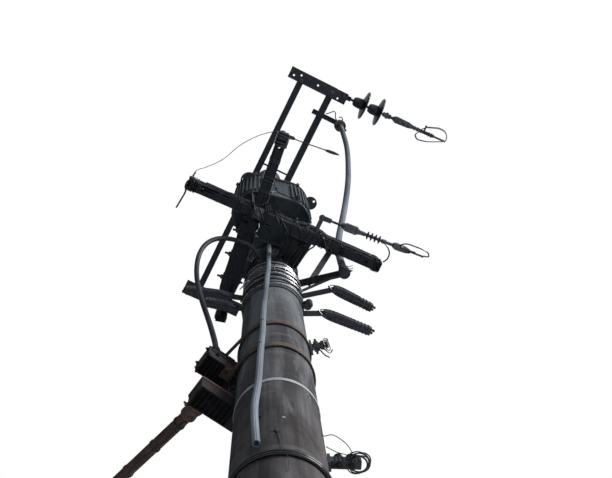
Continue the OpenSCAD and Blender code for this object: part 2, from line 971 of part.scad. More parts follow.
// pipe with the flanged sleeve that joins it to its bracket
module lamp_pipe() {
    sleeve = 70;
    color("#4a3a34")
        at_boxes()
            difference() {
                translate([box_out - 43, lamp_bracket_side, lamp_bracket_z + 34])
                    rotate([0, 90 - lamp_rise, -87.7]) {
                        translate([0, 0, -40])
                            cylinder(h = sleeve + 40, r = lamp_pipe_d / 2 + 6, $fn = fa);
                        cylinder(h = lamp_pipe_len, r = lamp_pipe_d / 2, $fn = fa);
                    }
                translate([0, lamp_bracket_side - gap, lamp_bracket_z - 60])
                    cube([box_out + 60, box_w + 2 * gap, lamp_bracket_h + 120]);
            }
}

module service_bands() {
    color("#3a3f45")
        for (z = service_z) {
            band(z - 20, 40, band_t);
            band_ears(z - 20, 40, band_t, 100);
        }
}

// strap from a band to a wedge-shaped clamp body; the strap is radial, the body has its own turn
module anchor_clamp(strap_turn, reach, z, body_turn, body_len) {
    start = pole_r(z) + band_t + 2 * gap + 0.6;
    rotate([0, 0, strap_turn])
        translate([start, -14, z - 4])
            cube([reach - start + 12, 28, 8]);
    translate([reach * cos(strap_turn), reach * sin(strap_turn), z])
        rotate([0, 0, body_turn])
            translate([0, 0, -18])
                linear_extrude(36)
                    polygon([[-8, -14], [body_len * 0.2, -24], [body_len, -20],
                        [body_len, 20], [body_len * 0.2, 24], [-8, 14]]);
}

module service_clamps() {
    color("#2a2e33") {
        anchor_clamp(-38, 338, service_z[0], 2, 225);
        anchor_clamp(-26, 268, service_z[1], -3, 255);
        anchor_clamp(163, 245, service_z[0], 163, 215);
        anchor_clamp(165, 215, service_z[1], 165, 135);
    }
}

// small bracket with its clamp, low on the right of the pole
module drop_bracket() {
    z = drop_bracket_z;
    turn = -29;
    color("#2f353b") {
        difference() {
            rotate([0, 0, turn]) {
                translate([100, -18, z - 30])
                    cube([pole_r(z) - 100 + 10, 36, 60]);
            }
            pole_space(z - 60, z + 60, gap);
        }
        rotate([0, 0, turn])
            translate([pole_r(z) + 8, 0, z])
                rotate([0, 0, 6])
                    translate([0, -15, -16])
                        cube([106, 30, 32]);
    }
}

pole();
rusty_bands();
bright_band();
wire_wrap();
cable_wraps();
rail_left();
rail_right();
front_end_bar();
back_end_bar();
rail_bolts();
string_clevis();
disc_one();
disc_two();
dead_end_clamp();
cable_bracket();
cable_termination();
riser_cable();
riser_bracket();
front_crossarm();
side_crossarm();
side_arm_cheek();
front_arm_bracket();
side_arm_bracket();
arm_brace();
low_string_eye();
low_string_link();
polymer_insulator();
low_dead_end();
tank();
tank_lid();
tank_fins();
tank_lugs();
tank_bands();
high_bushings();
low_bushings();
front_conduit();
loop_cable();
loop_cleat();
box_backplate();
upper_box();
lamp_bracket();
lamp_pipe();
service_bands();
service_clamps();
drop_bracket();
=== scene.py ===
import json
import math
import random

import bmesh
import bpy
from mathutils import Matrix, Vector


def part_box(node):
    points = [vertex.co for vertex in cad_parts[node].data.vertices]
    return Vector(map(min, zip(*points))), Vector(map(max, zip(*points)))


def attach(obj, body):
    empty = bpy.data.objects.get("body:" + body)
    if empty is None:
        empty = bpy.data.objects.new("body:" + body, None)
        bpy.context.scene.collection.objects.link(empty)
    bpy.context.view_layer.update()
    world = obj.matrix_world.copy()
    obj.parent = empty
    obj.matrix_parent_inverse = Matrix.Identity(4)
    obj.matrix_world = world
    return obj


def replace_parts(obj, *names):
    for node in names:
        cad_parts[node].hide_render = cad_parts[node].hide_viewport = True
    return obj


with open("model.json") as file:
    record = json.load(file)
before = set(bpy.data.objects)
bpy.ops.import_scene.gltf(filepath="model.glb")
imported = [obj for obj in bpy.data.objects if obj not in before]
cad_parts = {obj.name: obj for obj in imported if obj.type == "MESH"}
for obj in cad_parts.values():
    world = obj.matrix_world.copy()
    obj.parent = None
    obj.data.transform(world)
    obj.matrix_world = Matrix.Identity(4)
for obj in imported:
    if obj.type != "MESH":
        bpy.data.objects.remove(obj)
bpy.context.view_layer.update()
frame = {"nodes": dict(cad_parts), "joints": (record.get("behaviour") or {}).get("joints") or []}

node = frame["nodes"]
scene = bpy.context.scene

# The view
# A 50 mm lens, 1.6 m above the ground and 1.5 m from the pole, looks steeply up it,
# leaning to one side as the hand-held camera did.
eye = Vector((-0.6869, -1.2960, 1.5968))
yaw, pitch, lean = (math.radians(a) for a in (37.3215, 75.0776, -11.1824))
ahead = Vector((math.sin(yaw) * math.cos(pitch), math.cos(yaw) * math.cos(pitch), math.sin(pitch)))
level = Vector((math.cos(yaw), -math.sin(yaw), 0))
over = level.cross(ahead)
right = level * math.cos(lean) + over * math.sin(lean)
upright = over * math.cos(lean) - level * math.sin(lean)
camera = bpy.data.objects.new("camera", bpy.data.cameras.new("camera"))
camera.data.lens = 50
camera.data.sensor_width = 36
camera.data.clip_end = 100
camera.matrix_world = Matrix.Translation(eye) @ Matrix((right, upright, -ahead)).transposed().to_4x4()
scene.collection.objects.link(camera)
scene.camera = camera
scene.view_settings.view_transform = "Standard"

# The light
# An overcast sky, bright overhead, dim on the left and below the horizon, with a brighter cloud
# in front to the right; the camera itself sees plain white.


def feed(tree, made, sockets):
    """Gives a node's sockets numbers and colours, or joins them to other nodes' outputs."""
    for socket, value in sockets.items():
        if isinstance(value, bpy.types.NodeSocket):
            tree.links.new(value, made.inputs[socket])
        else:
            made.inputs[socket].default_value = value


def wired(tree, kind, sockets, **settings):
    """A new shader node with its settings and its sockets."""
    made = tree.nodes.new(kind)
    for setting, choice in settings.items():
        setattr(made, setting, choice)
    feed(tree, made, sockets)
    return made


scene.world = bpy.data.worlds.new("sky")
scene.world.use_nodes = True
sky = scene.world.node_tree
sky.nodes.clear()
sky_place = wired(sky, "ShaderNodeTexCoord", {})
sky_way = wired(sky, "ShaderNodeSeparateXYZ", {0: sky_place.outputs["Generated"]})
sky_height = wired(sky, "ShaderNodeMapRange", {"Value": sky_way.outputs["Z"], "From Min": -1})
sky_ramp = wired(sky, "ShaderNodeValToRGB", {"Fac": sky_height.outputs["Result"]})
ground_glow, cloud_cover = sky_ramp.color_ramp.elements
ground_glow.position = 0.44
ground_glow.color = (0.05, 0.054, 0.062, 1)
cloud_cover.position = 0.68
cloud_cover.color = (0.84, 0.92, 1, 1)
sky_sides = wired(sky, "ShaderNodeMapRange",
                  {"Value": sky_way.outputs["X"], "From Min": -0.9, "From Max": 0.2, "To Min": 0.35})
sky_shade = wired(sky, "ShaderNodeVectorMath",
                  {0: sky_ramp.outputs["Color"], "Scale": sky_sides.outputs["Result"]}, operation="SCALE")
sky_lit = wired(sky, "ShaderNodeBackground", {"Color": sky_shade.outputs[0], "Strength": 0.4})
sky_plain = wired(sky, "ShaderNodeBackground", {"Color": (1, 1, 1, 1), "Strength": 1})
sky_path = wired(sky, "ShaderNodeLightPath", {})
seen_plainly = wired(sky, "ShaderNodeMath", {0: sky_path.outputs["Is Camera Ray"],
                                             1: sky_path.outputs["Is Transmission Ray"]}, operation="MAXIMUM")
sky_mix = wired(sky, "ShaderNodeMixShader",
                {"Fac": seen_plainly.outputs[0], 1: sky_lit.outputs[0], 2: sky_plain.outputs[0]})
wired(sky, "ShaderNodeOutputWorld", {"Surface": sky_mix.outputs[0]})


def soft_light(name, place, target, size, watts, colour):
    """A square soft light at a place, aimed at a point."""
    lamp = bpy.data.lights.new(name, "AREA")
    lamp.size = size
    lamp.energy = watts
    lamp.color = colour
    holder = bpy.data.objects.new(name, lamp)
    holder.location = place
    holder.rotation_euler = (Vector(target) - Vector(place)).to_track_quat("-Z", "Y").to_euler()
    scene.collection.objects.link(holder)


soft_light("cloud_glow", (5.5, -8.5, 9.5), (0, 0, 6), 5, 1000, (1, 0.98, 0.96))
soft_light("street_bounce", (1, -6.5, 3.2), (0, 0, 6.5), 4, 45, (0.8, 0.88, 1))

floor_reach = 4
floor_level = -0.002
floor_shape = bpy.data.meshes.new("floor")
floor_corners = [(x * floor_reach, y * floor_reach, floor_level)
                 for x, y in ((-1, -1), (1, -1), (1, 1), (-1, 1))]
floor_shape.from_pydata(floor_corners, [], [(0, 1, 2, 3)])
floor = bpy.data.objects.new("floor", floor_shape)
scene.collection.objects.link(floor)
floor_paint = bpy.data.materials.new("floor_paint")
floor_paint.use_nodes = True
floor_paint.node_tree.nodes["Principled BSDF"].inputs["Base Color"].default_value = (0.8, 0.8, 0.8, 1)
floor_shape.materials.append(floor_paint)

# The two free cables
# A stiff grey riser hangs from its shedded end under the top frame and stands in a bracket's cup; a
# darker cable loops from a cleat on the pole into the upper box. Both have jackets of dusty plastic.


def tone(r, g, b):
    """A colour as a screen shows it, from 0 to 255, in the linear values that a shader takes."""
    def straight(v):
        v /= 255
        return v / 12.92 if v < 0.04045 else ((v + 0.055) / 1.055) ** 2.4
    return (straight(r), straight(g), straight(b), 1)


def lighter(colour, step):
    """The same colour, each part raised by a step."""
    return [min(255, v + step) for v in colour]


def darker(colour, share):
    """The same colour, each part cut to a share."""
    return [v * share for v in colour]


class Finish:
    """One procedural material: its colour is laid on in coats and its relief in layers."""

    def __init__(self, name):
        self.material = bpy.data.materials.new(name)
        self.material.use_nodes = True
        self.tree = self.material.node_tree
        self.place = wired(self.tree, "ShaderNodeTexCoord", {}).outputs["Object"]
        self.colour = None
        self.relief = None

    def noise(self, scale, detail=5, rough=0.6, stretch=(1, 1, 1), warp=0):
        where = wired(self.tree, "ShaderNodeMapping", {"Vector": self.place, "Scale": stretch}).outputs[0]
        return wired(self.tree, "ShaderNodeTexNoise", {"Vector": where, "Scale": scale, "Detail": detail,
                                                       "Roughness": rough, "Distortion": warp}).outputs["Fac"]

    def cells(self, scale):
        sockets = {"Vector": self.place, "Scale": scale}
        return wired(self.tree, "ShaderNodeTexVoronoi", sockets).outputs["Distance"]

    def between(self, value, low, high, start=0.0, end=1.0):
        """The start number up to the low value, the end number past the high one, a slope between."""
        return wired(self.tree, "ShaderNodeMapRange", {"Value": value, "From Min": low, "From Max": high,
                                                       "To Min": start, "To Max": end}).outputs["Result"]

    def times(self, a, b):
        return wired(self.tree, "ShaderNodeMath", {0: a, 1: b}, operation="MULTIPLY").outputs[0]

    def spot(self, at, reach):
        """1 at a point and 0 beyond its ragged reach."""
        gap = wired(self.tree, "ShaderNodeVectorMath", {0: self.place, 1: at}, operation="DISTANCE")
        rag = self.between(self.noise(0.9 / reach, 4, 0.7), 0.3, 0.7, 0.6, 1.4)
        return self.between(self.times(gap.outputs["Value"], rag), reach, reach * 0.75)

    def blend(self, amount, one, other, how="MIX"):
        return wired(self.tree, "ShaderNodeMix", {0: amount, 6: one, 7: other},
                     data_type="RGBA", blend_type=how).outputs[2]

    def ground(self, dark, light, value, low, high):
        """The first coat, dark up to the low value and light past the high one."""
        self.colour = self.blend(self.between(value, low, high), tone(*dark), tone(*light))

    def lay(self, colour, value, low=0.0, high=1.0, amount=1.0, how="MIX"):
        """A coat over what is there: none up to the low value, the full amount past the high one."""
        cover_by = self.between(value, low, high, 0, amount)
        self.colour = self.blend(cover_by, self.colour, tone(*colour), how)

    def rub(self, colour, amount):
        """Wears the sharp edges to another colour."""
        sharp = wired(self.tree, "ShaderNodeNewGeometry", {}).outputs["Pointiness"]
        self.lay(colour, sharp, 0.51, 0.56, amount)

    def dig(self, height, depth, strength):
        """One more layer of relief."""
        sockets = {"Height": height, "Distance": depth, "Strength": strength}
        if self.relief is not None:
            sockets["Normal"] = self.relief
        self.relief = wired(self.tree, "ShaderNodeBump", sockets).outputs[0]

    def done(self, rough, metal=0.0, coat=0.0, shine=0.5):
        feed(self.tree, self.tree.nodes["Principled BSDF"],
             {"Base Color": self.colour, "Roughness": rough, "Metallic": metal, "Coat Weight": coat,
              "Specular IOR Level": shine, "Normal": self.relief})
        return self.material


def cover(names, material):
    """Gives CAD pieces their only material."""
    for name in names:
        node[name].data.materials.clear()
        node[name].data.materials.append(material)


def jacket(name, light, dark, rough=0.55):
    """Weathered cable or conduit jacket: dusty streaks down its length and a fine matt grain."""
    skin = Finish(name)
    dust = skin.noise(9, 6, 0.65, (1, 1, 0.25))
    skin.ground(dark, light, dust, 0.35, 0.7)
    skin.lay(darker(dark, 0.5), skin.noise(40, 6, 0.7, (1, 1, 0.3)), 0.6, 0.72, 0.5)
    skin.dig(skin.noise(260, 3, 0.5), 0.0006, 0.5)
    skin.dig(dust, 0.002, 0.3)
    return skin.done(skin.between(dust, 0.3, 0.7, rough + 0.12, rough - 0.1))


def free_cable(name, replaced, route, thick, material):
    """A stiff cable as one smooth curve through its route, from the object and back into it."""
    line = bpy.data.curves.new(name, "CURVE")
    line.dimensions = "3D"
    line.bevel_depth = thick / 2 - 0.0002
    line.bevel_resolution = 5
    line.use_fill_caps = True
    line.resolution_u = 4
    line.materials.append(material)
    spline = line.splines.new("NURBS")
    spline.points.add(len(route) - 1)
    for spot, p in zip(spline.points, route):
        spot.co = (*p, 1)
    spline.order_u = 4
    spline.use_endpoint_u = True
    spline.use_smooth = True
    piece = bpy.data.objects.new(name, line)
    scene.collection.objects.link(piece)
    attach(piece, "pole")
    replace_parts(piece, replaced)
    length = sum((Vector(b) - Vector(a)).length for a, b in zip(route, route[1:]))
    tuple(route[0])


riser_route = [
    (0.330, -0.765, 9.030), (0.330, -0.765, 8.980), (0.338, -0.755, 8.920), (0.356, -0.733, 8.850),
    (0.378, -0.704, 8.770), (0.398, -0.674, 8.680), (0.412, -0.644, 8.580), (0.420, -0.612, 8.460),
    (0.425, -0.582, 8.340), (0.428, -0.552, 8.220), (0.430, -0.524, 8.100), (0.429, -0.496, 7.980),
    (0.426, -0.468, 7.860), (0.421, -0.440, 7.740), (0.415, -0.413, 7.620), (0.408, -0.387, 7.500),
    (0.399, -0.362, 7.380), (0.389, -0.338, 7.260), (0.378, -0.316, 7.140), (0.366, -0.297, 7.020),
    (0.354, -0.282, 6.900), (0.343, -0.272, 6.780), (0.333, -0.266, 6.660), (0.325, -0.263, 6.540),
    (0.320, -0.262, 6.420), (0.318, -0.262, 6.300), (0.318, -0.262, 6.200), (0.318, -0.262, 6.120)]
loop_route = [
    (-0.130, -0.109, 6.190), (-0.150, -0.126, 6.190), (-0.172, -0.141, 6.191), (-0.200, -0.151, 6.192),
    (-0.232, -0.154, 6.192), (-0.268, -0.152, 6.190), (-0.305, -0.147, 6.184), (-0.342, -0.140, 6.172),
    (-0.378, -0.130, 6.152), (-0.408, -0.117, 6.124), (-0.431, -0.101, 6.088), (-0.446, -0.083, 6.046),
    (-0.454, -0.063, 5.998), (-0.455, -0.042, 5.946), (-0.449, -0.020, 5.890), (-0.437, 0.001, 5.828),
    (-0.420, 0.020, 5.760), (-0.398, 0.036, 5.686), (-0.373, 0.048, 5.608), (-0.347, 0.057, 5.528),
    (-0.322, 0.063, 5.446), (-0.299, 0.068, 5.364), (-0.279, 0.072, 5.284), (-0.264, 0.075, 5.216),
    (-0.254, 0.076, 5.164), (-0.254, 0.076, 5.120)]
grey_jacket = jacket("grey_jacket", (140, 148, 160), (92, 101, 113))
dark_jacket = jacket("dark_jacket", (74, 81, 92), (34, 39, 46))
riser_thick, loop_thick = 0.044, 0.027
free_cable("riser_cable_jacket", "riser_cable", riser_route, riser_thick, grey_jacket)
free_cable("loop_cable_jacket", "loop_cable", loop_route, loop_thick, dark_jacket)

# The pole
# A spun concrete shaft, 9.3 m of it above the ground: pale grey and rain-washed near its top, browner
# and grimier below, with faint rings from its mould, rust stains under the bands and small chips.
pole_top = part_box("pole")[1]
foot_radius = pole_top[0]
top_radius = 0.115
band_feet = (4.860, 5.130)


def pole_radius(z):
    return foot_radius + (top_radius - foot_radius) * z / pole_top[2]


concrete = Finish("concrete")
patches = concrete.noise(3.2, 8, 0.62, (1, 1, 0.45), 0.6)
streaks = concrete.noise(15, 5, 0.6, (1, 1, 0.06))
mould_rings = concrete.noise(24, 3, 0.5, (0.12, 0.12, 1))
grit = concrete.noise(190, 4, 0.7)
smears = concrete.noise(8, 6, 0.6, (1, 1, 0.2), 0.8)
rust_run = concrete.noise(30, 6, 0.7, (1, 1, 0.05))
height = wired(concrete.tree, "ShaderNodeSeparateXYZ", {0: concrete.place}).outputs["Z"]
grimy_below, washed_above = 4.2, 5.9
washed = concrete.between(height, grimy_below, washed_above)
pale = concrete.blend(washed, tone(134, 130, 131), tone(178, 185, 192))
grimy = concrete.blend(washed, tone(70, 66, 67), tone(128, 132, 138))
concrete.colour = concrete.blend(concrete.between(patches, 0.40, 0.62), grimy, pale)
concrete.lay((58, 55, 56), streaks, 0.46, 0.64, 0.7)
concrete.lay((176, 180, 184), smears, 0.56, 0.70, 0.6)
concrete.lay((168, 170, 174), mould_rings, 0.56, 0.70, 0.3)
concrete.lay((62, 60, 60), grit, 0.35, 0.75, 0.45, "MULTIPLY")
stain_long = 0.28
for foot in reversed(band_feet):
    stain_fall = concrete.between(height, foot - stain_long, foot)
    below_band = concrete.between(height, foot, foot - 0.004)
    run = concrete.between(rust_run, 0.5, 0.68, 0, 0.7)
    concrete.lay((96, 72, 58), concrete.times(concrete.times(stain_fall, below_band), run))
concrete.dig(patches, 0.004, 0.35)
concrete.dig(mould_rings, 0.0015, 0.4)
concrete.dig(grit, 0.0018, 0.7)
concrete.dig(concrete.between(concrete.cells(60), 0.02, 0.16), 0.0015, 0.4)
dark_chips = [((-0.128, -0.105, 4.234), 0.013), ((-0.079, -0.147, 4.101), 0.009),
              ((0.110, -0.118, 4.62), 0.010)]
pale_chips = [((-0.055, -0.156, 4.211), 0.008), ((0.060, -0.150, 4.47), 0.006), ((-0.120, 0.105, 3.1), 0.02)]
for chips, colour, depth, strength in ((dark_chips, (30, 28, 28), 0.006, 0.9),
                                       (pale_chips, (176, 178, 180), 0.004, 0.8)):
    for at, reach in chips:
        chip = concrete.spot(at, reach)
        concrete.lay(colour, chip)
        concrete.dig(concrete.between(chip, 0, 1, 1, 0), depth, strength)
cover(["pole"], concrete.done(concrete.between(patches, 0.3, 0.7, 0.95, 0.8), shine=0.25))

# The steel bands
# Two flat rusty bands were bent round the pole by hand and pulled tight on its left, where each
# leaves straight on to a clamp; a bright galvanised strap lower down is closed by a crimped buckle.
up = Vector((0, 0, 1))
down = Vector((0, 0, -1))


def heading(turn):
    """The level direction at a turn in degrees."""
    a = math.radians(turn)
    return Vector((math.cos(a), math.sin(a), 0))


def on_pole(turn, z, proud=0.0):
    """A point on the pole's surface at a height, or standing proud of it; turn is in degrees."""
    return heading(turn) * (pole_radius(z) + proud) + up * z


def round_loops(points, radius, sides, closed=False, rib=0.0):
    """The corners of a round bar along points; with a rib, every fourth corner lies that much lower."""
    count = len(points)
    side = None
    loops = []
    for i, p in enumerate(points):
        before = points[i - 1] if i or closed else p
        after = points[(i + 1) % count] if i < count - 1 or closed else p
        along = (after - before).normalized()
        if side is None:
            side = along.orthogonal().normalized()
        side = (side - along * side.dot(along)).normalized()
        other = along.cross(side)
        loop = []
        for k in range(sides):
            a = 2 * math.pi * k / sides
            r = radius if k % 4 else radius - rib
            loop.append(p + (side * math.cos(a) + other * math.sin(a)) * r)
        loops.append(loop)
    return loops


class Maker:
    """Gathers simple made shapes into one mesh piece."""

    def __init__(self):
        self.mesh = bmesh.new()

    def put(self, verts, at, axis, roll):
        turn = Vector(axis).to_track_quat("Z", "Y").to_matrix().to_4x4()
        matrix = Matrix.Translation(at) @ turn @ Matrix.Rotation(math.radians(roll), 4, "Z")
        bmesh.ops.transform(self.mesh, matrix=matrix, verts=verts)

    def skin(self, loops, closed=False):
        """A wall through loops of corners; it ends flat, or its last loop meets the first one."""
        loops = [[self.mesh.verts.new(p) for p in loop] for loop in loops]
        if closed:
            first, corner = loops[0], loops[-1][0].co
            shift = min(range(len(first)), key=lambda k: (first[k].co - corner).length)
            loops.append(first[shift:] + first[:shift])
        for low, high in zip(loops, loops[1:]):
            for k in range(len(low)):
                self.mesh.faces.new((low[k - 1], low[k], high[k], high[k - 1]))
        if not closed:
            self.mesh.faces.new(reversed(loops[0]))
            self.mesh.faces.new(loops[-1])
        return [v for loop in loops for v in loop]

    def turned(self, at, axis, rings, sides=20, roll=0.0):
        """A lathe-turned shape; rings are (radius, height) pairs going up the axis."""
        spokes = [heading(360 * k / sides) for k in range(sides)]
        self.put(self.skin([[spoke * radius + up * rise for spoke in spokes] for radius, rise in rings]),
                 at, axis, roll)

    def disc(self, at, axis, radius, thick, sides=20):
        self.turned(at, axis, [(radius, 0), (radius, thick)], sides)

    def block(self, at, size, axis=up, roll=0.0, edge=0.0012):
        """A block with rounded edges."""
        verts = bmesh.ops.create_cube(self.mesh, size=1)["verts"]
        bmesh.ops.scale(self.mesh, vec=size, verts=verts)
        rims = list({e for v in verts for e in v.link_edges})
        made = bmesh.ops.bevel(self.mesh, geom=rims, offset=edge, segments=2, profile=0.7, affect="EDGES")
        self.put(made["verts"], at, axis, roll)

    def nut(self, at, axis, across, rise, roll=0.0):
        """A hexagon with chamfered rims, standing up from a point."""
        r = across / 2
        self.turned(at, axis, [(r * 0.88, 0), (r, rise * 0.12), (r, rise * 0.85), (r * 0.86, rise)], 6, roll)

    def bolt(self, at, axis, thread, reach, washer=True, roll=0.0):
        """A bolt end on a surface: washer, nut and the thread that stands out of it."""
        axis = Vector(axis).normalized()
        seat = Vector(at)
        if washer:
            thick = thread * 0.25
            rim, waist = thread * 1.15, thread * 1.25
            self.turned(seat, axis, [(rim, 0), (waist, thick * 0.4), (rim, thick)], 18)
            seat += axis * thick
        self.nut(seat, axis, thread * 1.9, thread * 0.85, roll)
        turns = max(2, int(reach / 0.002))
        foot = thread * 0.8
        rings = [(thread * (0.5 if k % 2 else 0.44), foot + reach * k / turns) for k in range(turns + 1)]
        self.turned(seat, axis, rings + [(thread * 0.36, foot + reach * 1.03)], 12)

    def thread(self, at, axis, crest, root, pitch, turns, sides):
        """The grooved end of a rod."""
        self.turned(at, axis, [(root if k % 2 else crest, pitch * k) for k in range(turns)], sides)

    def wire(self, points, radius, sides=6, closed=False):
        """A round bar bent through points."""
        self.skin(round_loops([Vector(p) for p in points], radius, sides, closed), closed)

    def ring(self, middle, one, other, thick, count=24, sides=6):
        """A wire bent into a ring that passes through middle + one and middle + other."""
        angles = [2 * math.pi * k / count for k in range(count)]
        self.wire([middle + one * math.cos(a) + other * math.sin(a) for a in angles], thick, sides, True)

    def hoop(self, middle, radius, thick, count=24, sides=6):
        """A level ring."""
        self.ring(middle, heading(0) * radius, heading(90) * radius, thick, count, sides)

    def strap(self, points, normals, width, thick):
        """A flat bar bent through points, with the direction it faces at each one."""
        last = len(points) - 1
        loops = []
        for i, p in enumerate(points):
            along = (points[min(i + 1, last)] - points[max(i - 1, 0)]).normalized()
            out = (normals[i] - along * normals[i].dot(along)).normalized()
            across = along.cross(out) * width / 2
            loops.append([p - across, p + across, p + across + out * thick, p - across + out * thick])
        self.skin(loops)

    def done(self, name, material, slot, body="pole"):
        """Ends the piece: gives it its finish and fixes it to its body."""
        bmesh.ops.recalc_face_normals(self.mesh, faces=self.mesh.faces)
        shape = bpy.data.meshes.new(name)
        self.mesh.to_mesh(shape)
        self.mesh.free()
        shape.shade_smooth()
        shape.set_sharp_from_angle(angle=math.radians(38))
        shape.materials.append(material)
        piece = bpy.data.objects.new(name, shape)
        scene.collection.objects.link(piece)
        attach(piece, body)
        return piece


def rust_skin(name, light, dark, fresh=(96, 52, 30)):
    """Rusted steel: flaking browns over dark scale."""
    skin = Finish(name)
    blotch = skin.noise(18, 8, 0.7)
    flake = skin.noise(90, 5, 0.7)
    skin.ground(dark, light, blotch, 0.34, 0.66)
    skin.lay(fresh, flake, 0.5, 0.75, 0.6)
    skin.rub(lighter(light, 30), 0.4)
    skin.dig(flake, 0.0014, 0.8)
    skin.dig(blotch, 0.003, 0.5)
    return skin.done(0.85, shine=0.3)


def plain_skin(name, light, dark, rough=0.55, coat=0.0, scale=30):
    """Dusty plastic, paint or glaze with soft blotches and a fine grain."""
    skin = Finish(name)
    dust = skin.noise(scale, 6, 0.62)
    skin.ground(dark, light, dust, 0.36, 0.68)
    skin.rub(lighter(light, 40), 0.35)
    skin.lay(darker(dark, 0.6), skin.noise(scale * 3, 6, 0.75, (1, 1, 0.15)), 0.62, 0.74, 0.3)
    skin.dig(skin.noise(scale * 9, 4, 0.6), 0.0008, 0.4)
    skin.dig(dust, 0.0015, 0.25)
    return skin.done(skin.between(dust, 0.3, 0.7, rough + 0.12, rough - 0.1), coat=coat)


def steel(name, light, dark, rust=0.25, rough=0.62, metal=0.35):
    """Weathered galvanised steel: mottled grey, dirt in the hollows, rust in patches, brighter edges."""
    skin = Finish(name)
    mottle = skin.noise(22, 6, 0.6)
    spots = skin.noise(46, 6, 0.7)
    skin.ground(dark, light, mottle, 0.35, 0.68)
    skin.lay(lighter(light, 30), skin.cells(120), 0.2, 0.9, 0.18)
    skin.lay(darker(dark, 0.55), skin.noise(26, 5, 0.65, (1, 1, 0.1)), 0.55, 0.72, 0.4)
    skin.lay((86, 56, 42), spots, 0.72 - 0.3 * rust, 0.8 - 0.3 * rust, 0.8)
    skin.rub(lighter(light, 50), 0.5)
    skin.dig(spots, 0.0012, 0.5)
    skin.dig(mottle, 0.002, 0.3)
    return skin.done(skin.between(mottle, 0.3, 0.7, rough + 0.1, rough - 0.1),
                     skin.between(spots, 0.5, 0.7, metal, 0))


band_rust = rust_skin("band_rust", (124, 106, 96), (64, 50, 44))
bolt_skin = steel("bolt_skin", (84, 88, 92), (42, 45, 48))
cover(["rusty_bands"], band_rust)
band_rise = 0.042
tail_turn = 197
tail_proud = 0.0123
tail_reaches = (0.090, 0.157)
clamp_past_tail = 0.007
clamp_bolt = 0.007
tail_out, tail_way = heading(tail_turn), heading(tail_turn - 90)
band_bolts = Maker()
for foot, tail in zip(band_feet, tail_reaches):
    tail_face = pole_radius(foot + band_rise) + tail_proud
    clamp = tail_out * tail_face + tail_way * (tail + clamp_past_tail) + up * (foot + band_rise / 2)
    for shift in (-0.006, 0.006):
        band_bolts.bolt(clamp + (up + tail_way) * shift, tail_out, clamp_bolt, 0.006)
band_bolts.done("rusty_band_bolts", band_rust, "rusty_band")

band_zinc = plain_skin("band_zinc", (206, 211, 216), (150, 157, 164), 0.4)
cover(["bright_band"], band_zinc)
strap_z = 4.525
strap_wide, strap_thick = 0.019, 0.0016
buckle_turn = 62
buckle_size = (0.030, 0.026, 0.006)
pinch_size = (0.004, 0.028, 0.004)
buckle_out = heading(buckle_turn)
buckle = Maker()
buckle.block(on_pole(buckle_turn, strap_z, 0.0053), buckle_size, buckle_out, 90)
for pinch in (-0.405, 0.405):
    buckle.block(on_pole(buckle_turn + pinch, strap_z, 0.0075), pinch_size, buckle_out, 90)
tail_turns = range(6, 16, 2)
buckle.strap([on_pole(buckle_turn - a, strap_z + 0.0006 * a, 0.0023 + 0.0012 * a) for a in tail_turns],
             [heading(buckle_turn - a) for a in tail_turns], strap_wide, strap_thick)
buckle.done("bright_band_buckle", band_zinc, "bright_band")

# The wires wound on the pole
# Below, two turns of black covered wire with their ends twisted together, and a thin loose end that
# hangs down the face; at the top, many thinner tie wires, black ones and bare bright ones.
black_wire = plain_skin("black_wire", (34, 36, 42), (12, 13, 17), 0.3, 0.7)
bare_wire = steel("bare_wire", (246, 249, 252), (196, 202, 210), 0, 0.3, 0.85)
cover(["wire_wrap", "cable_wraps"], black_wire)


def eased(points, steps=6):
    """A smooth curve through a few given points."""
    points = [Vector(p) for p in points]
    last = len(points) - 1
    path = []
    for i in range(last):
        a, b, c, d = (points[min(max(i + k, 0), last)] for k in (-1, 0, 1, 2))
        for k in range(steps):
            t = k / steps
            path.append(0.5 * (2 * b + (c - a) * t + (2 * a - 5 * b + 4 * c - d) * t * t
                               + (3 * b - a - 3 * c + d) * t * t * t))
    return path + [points[-1]]


wrap_radius, loose_radius = 0.0035, 0.0013
twist_turn, twist_z = 40, 3.955
twist = Maker()
for phase in (0, 180):
    strand = []
    for k in range(25):
        bend = math.radians(phase + k * 75)
        point = on_pole(twist_turn + k * 0.9, twist_z - k * 0.003, 0.012 + 0.003 * math.cos(bend))
        strand.append(point + up * 0.005 * math.sin(bend))
    twist.wire(strand, wrap_radius)
twist.done("wrap_twisted_ends", black_wire, "wrap_wire")
hanging = [(-0.079, -0.149, 4.101), (-0.074, -0.154, 4.060), (-0.069, -0.158, 4.010),
           (-0.063, -0.163, 3.975), (-0.056, -0.168, 3.920), (-0.053, -0.166, 3.850)]
loose_end = Maker()
loose_end.wire(eased(hanging), loose_radius)
hook = [on_pole(turn, z, 0.0016) for turn, z in ((-118, 4.101), (-121, 4.112), (-126, 4.104))]
loose_end.wire(eased(hook, 4), loose_radius)
loose_end.done("wrap_loose_end", black_wire, "wrap_wire")


def sagging_turn(low_z, rise, low_turn, proud, wobble, seed):
    """A loose turn round the pole, lowest at one side and a little uneven."""
    dice = random.Random(seed)
    shifts = [dice.uniform(-1, 1) for k in range(12)]
    points = []
    for k in range(48):
        turn = 7.5 * k
        climb = (1 - math.cos(math.radians(turn - low_turn))) / 2
        share = k % 4 / 4
        rough = shifts[k // 4] * (1 - share) + shifts[(k // 4 + 1) % 12] * share
        stand = proud + wobble * 0.3 * (1 + rough)
        points.append(on_pole(turn, low_z + rise * climb + wobble * rough, stand))
    return points


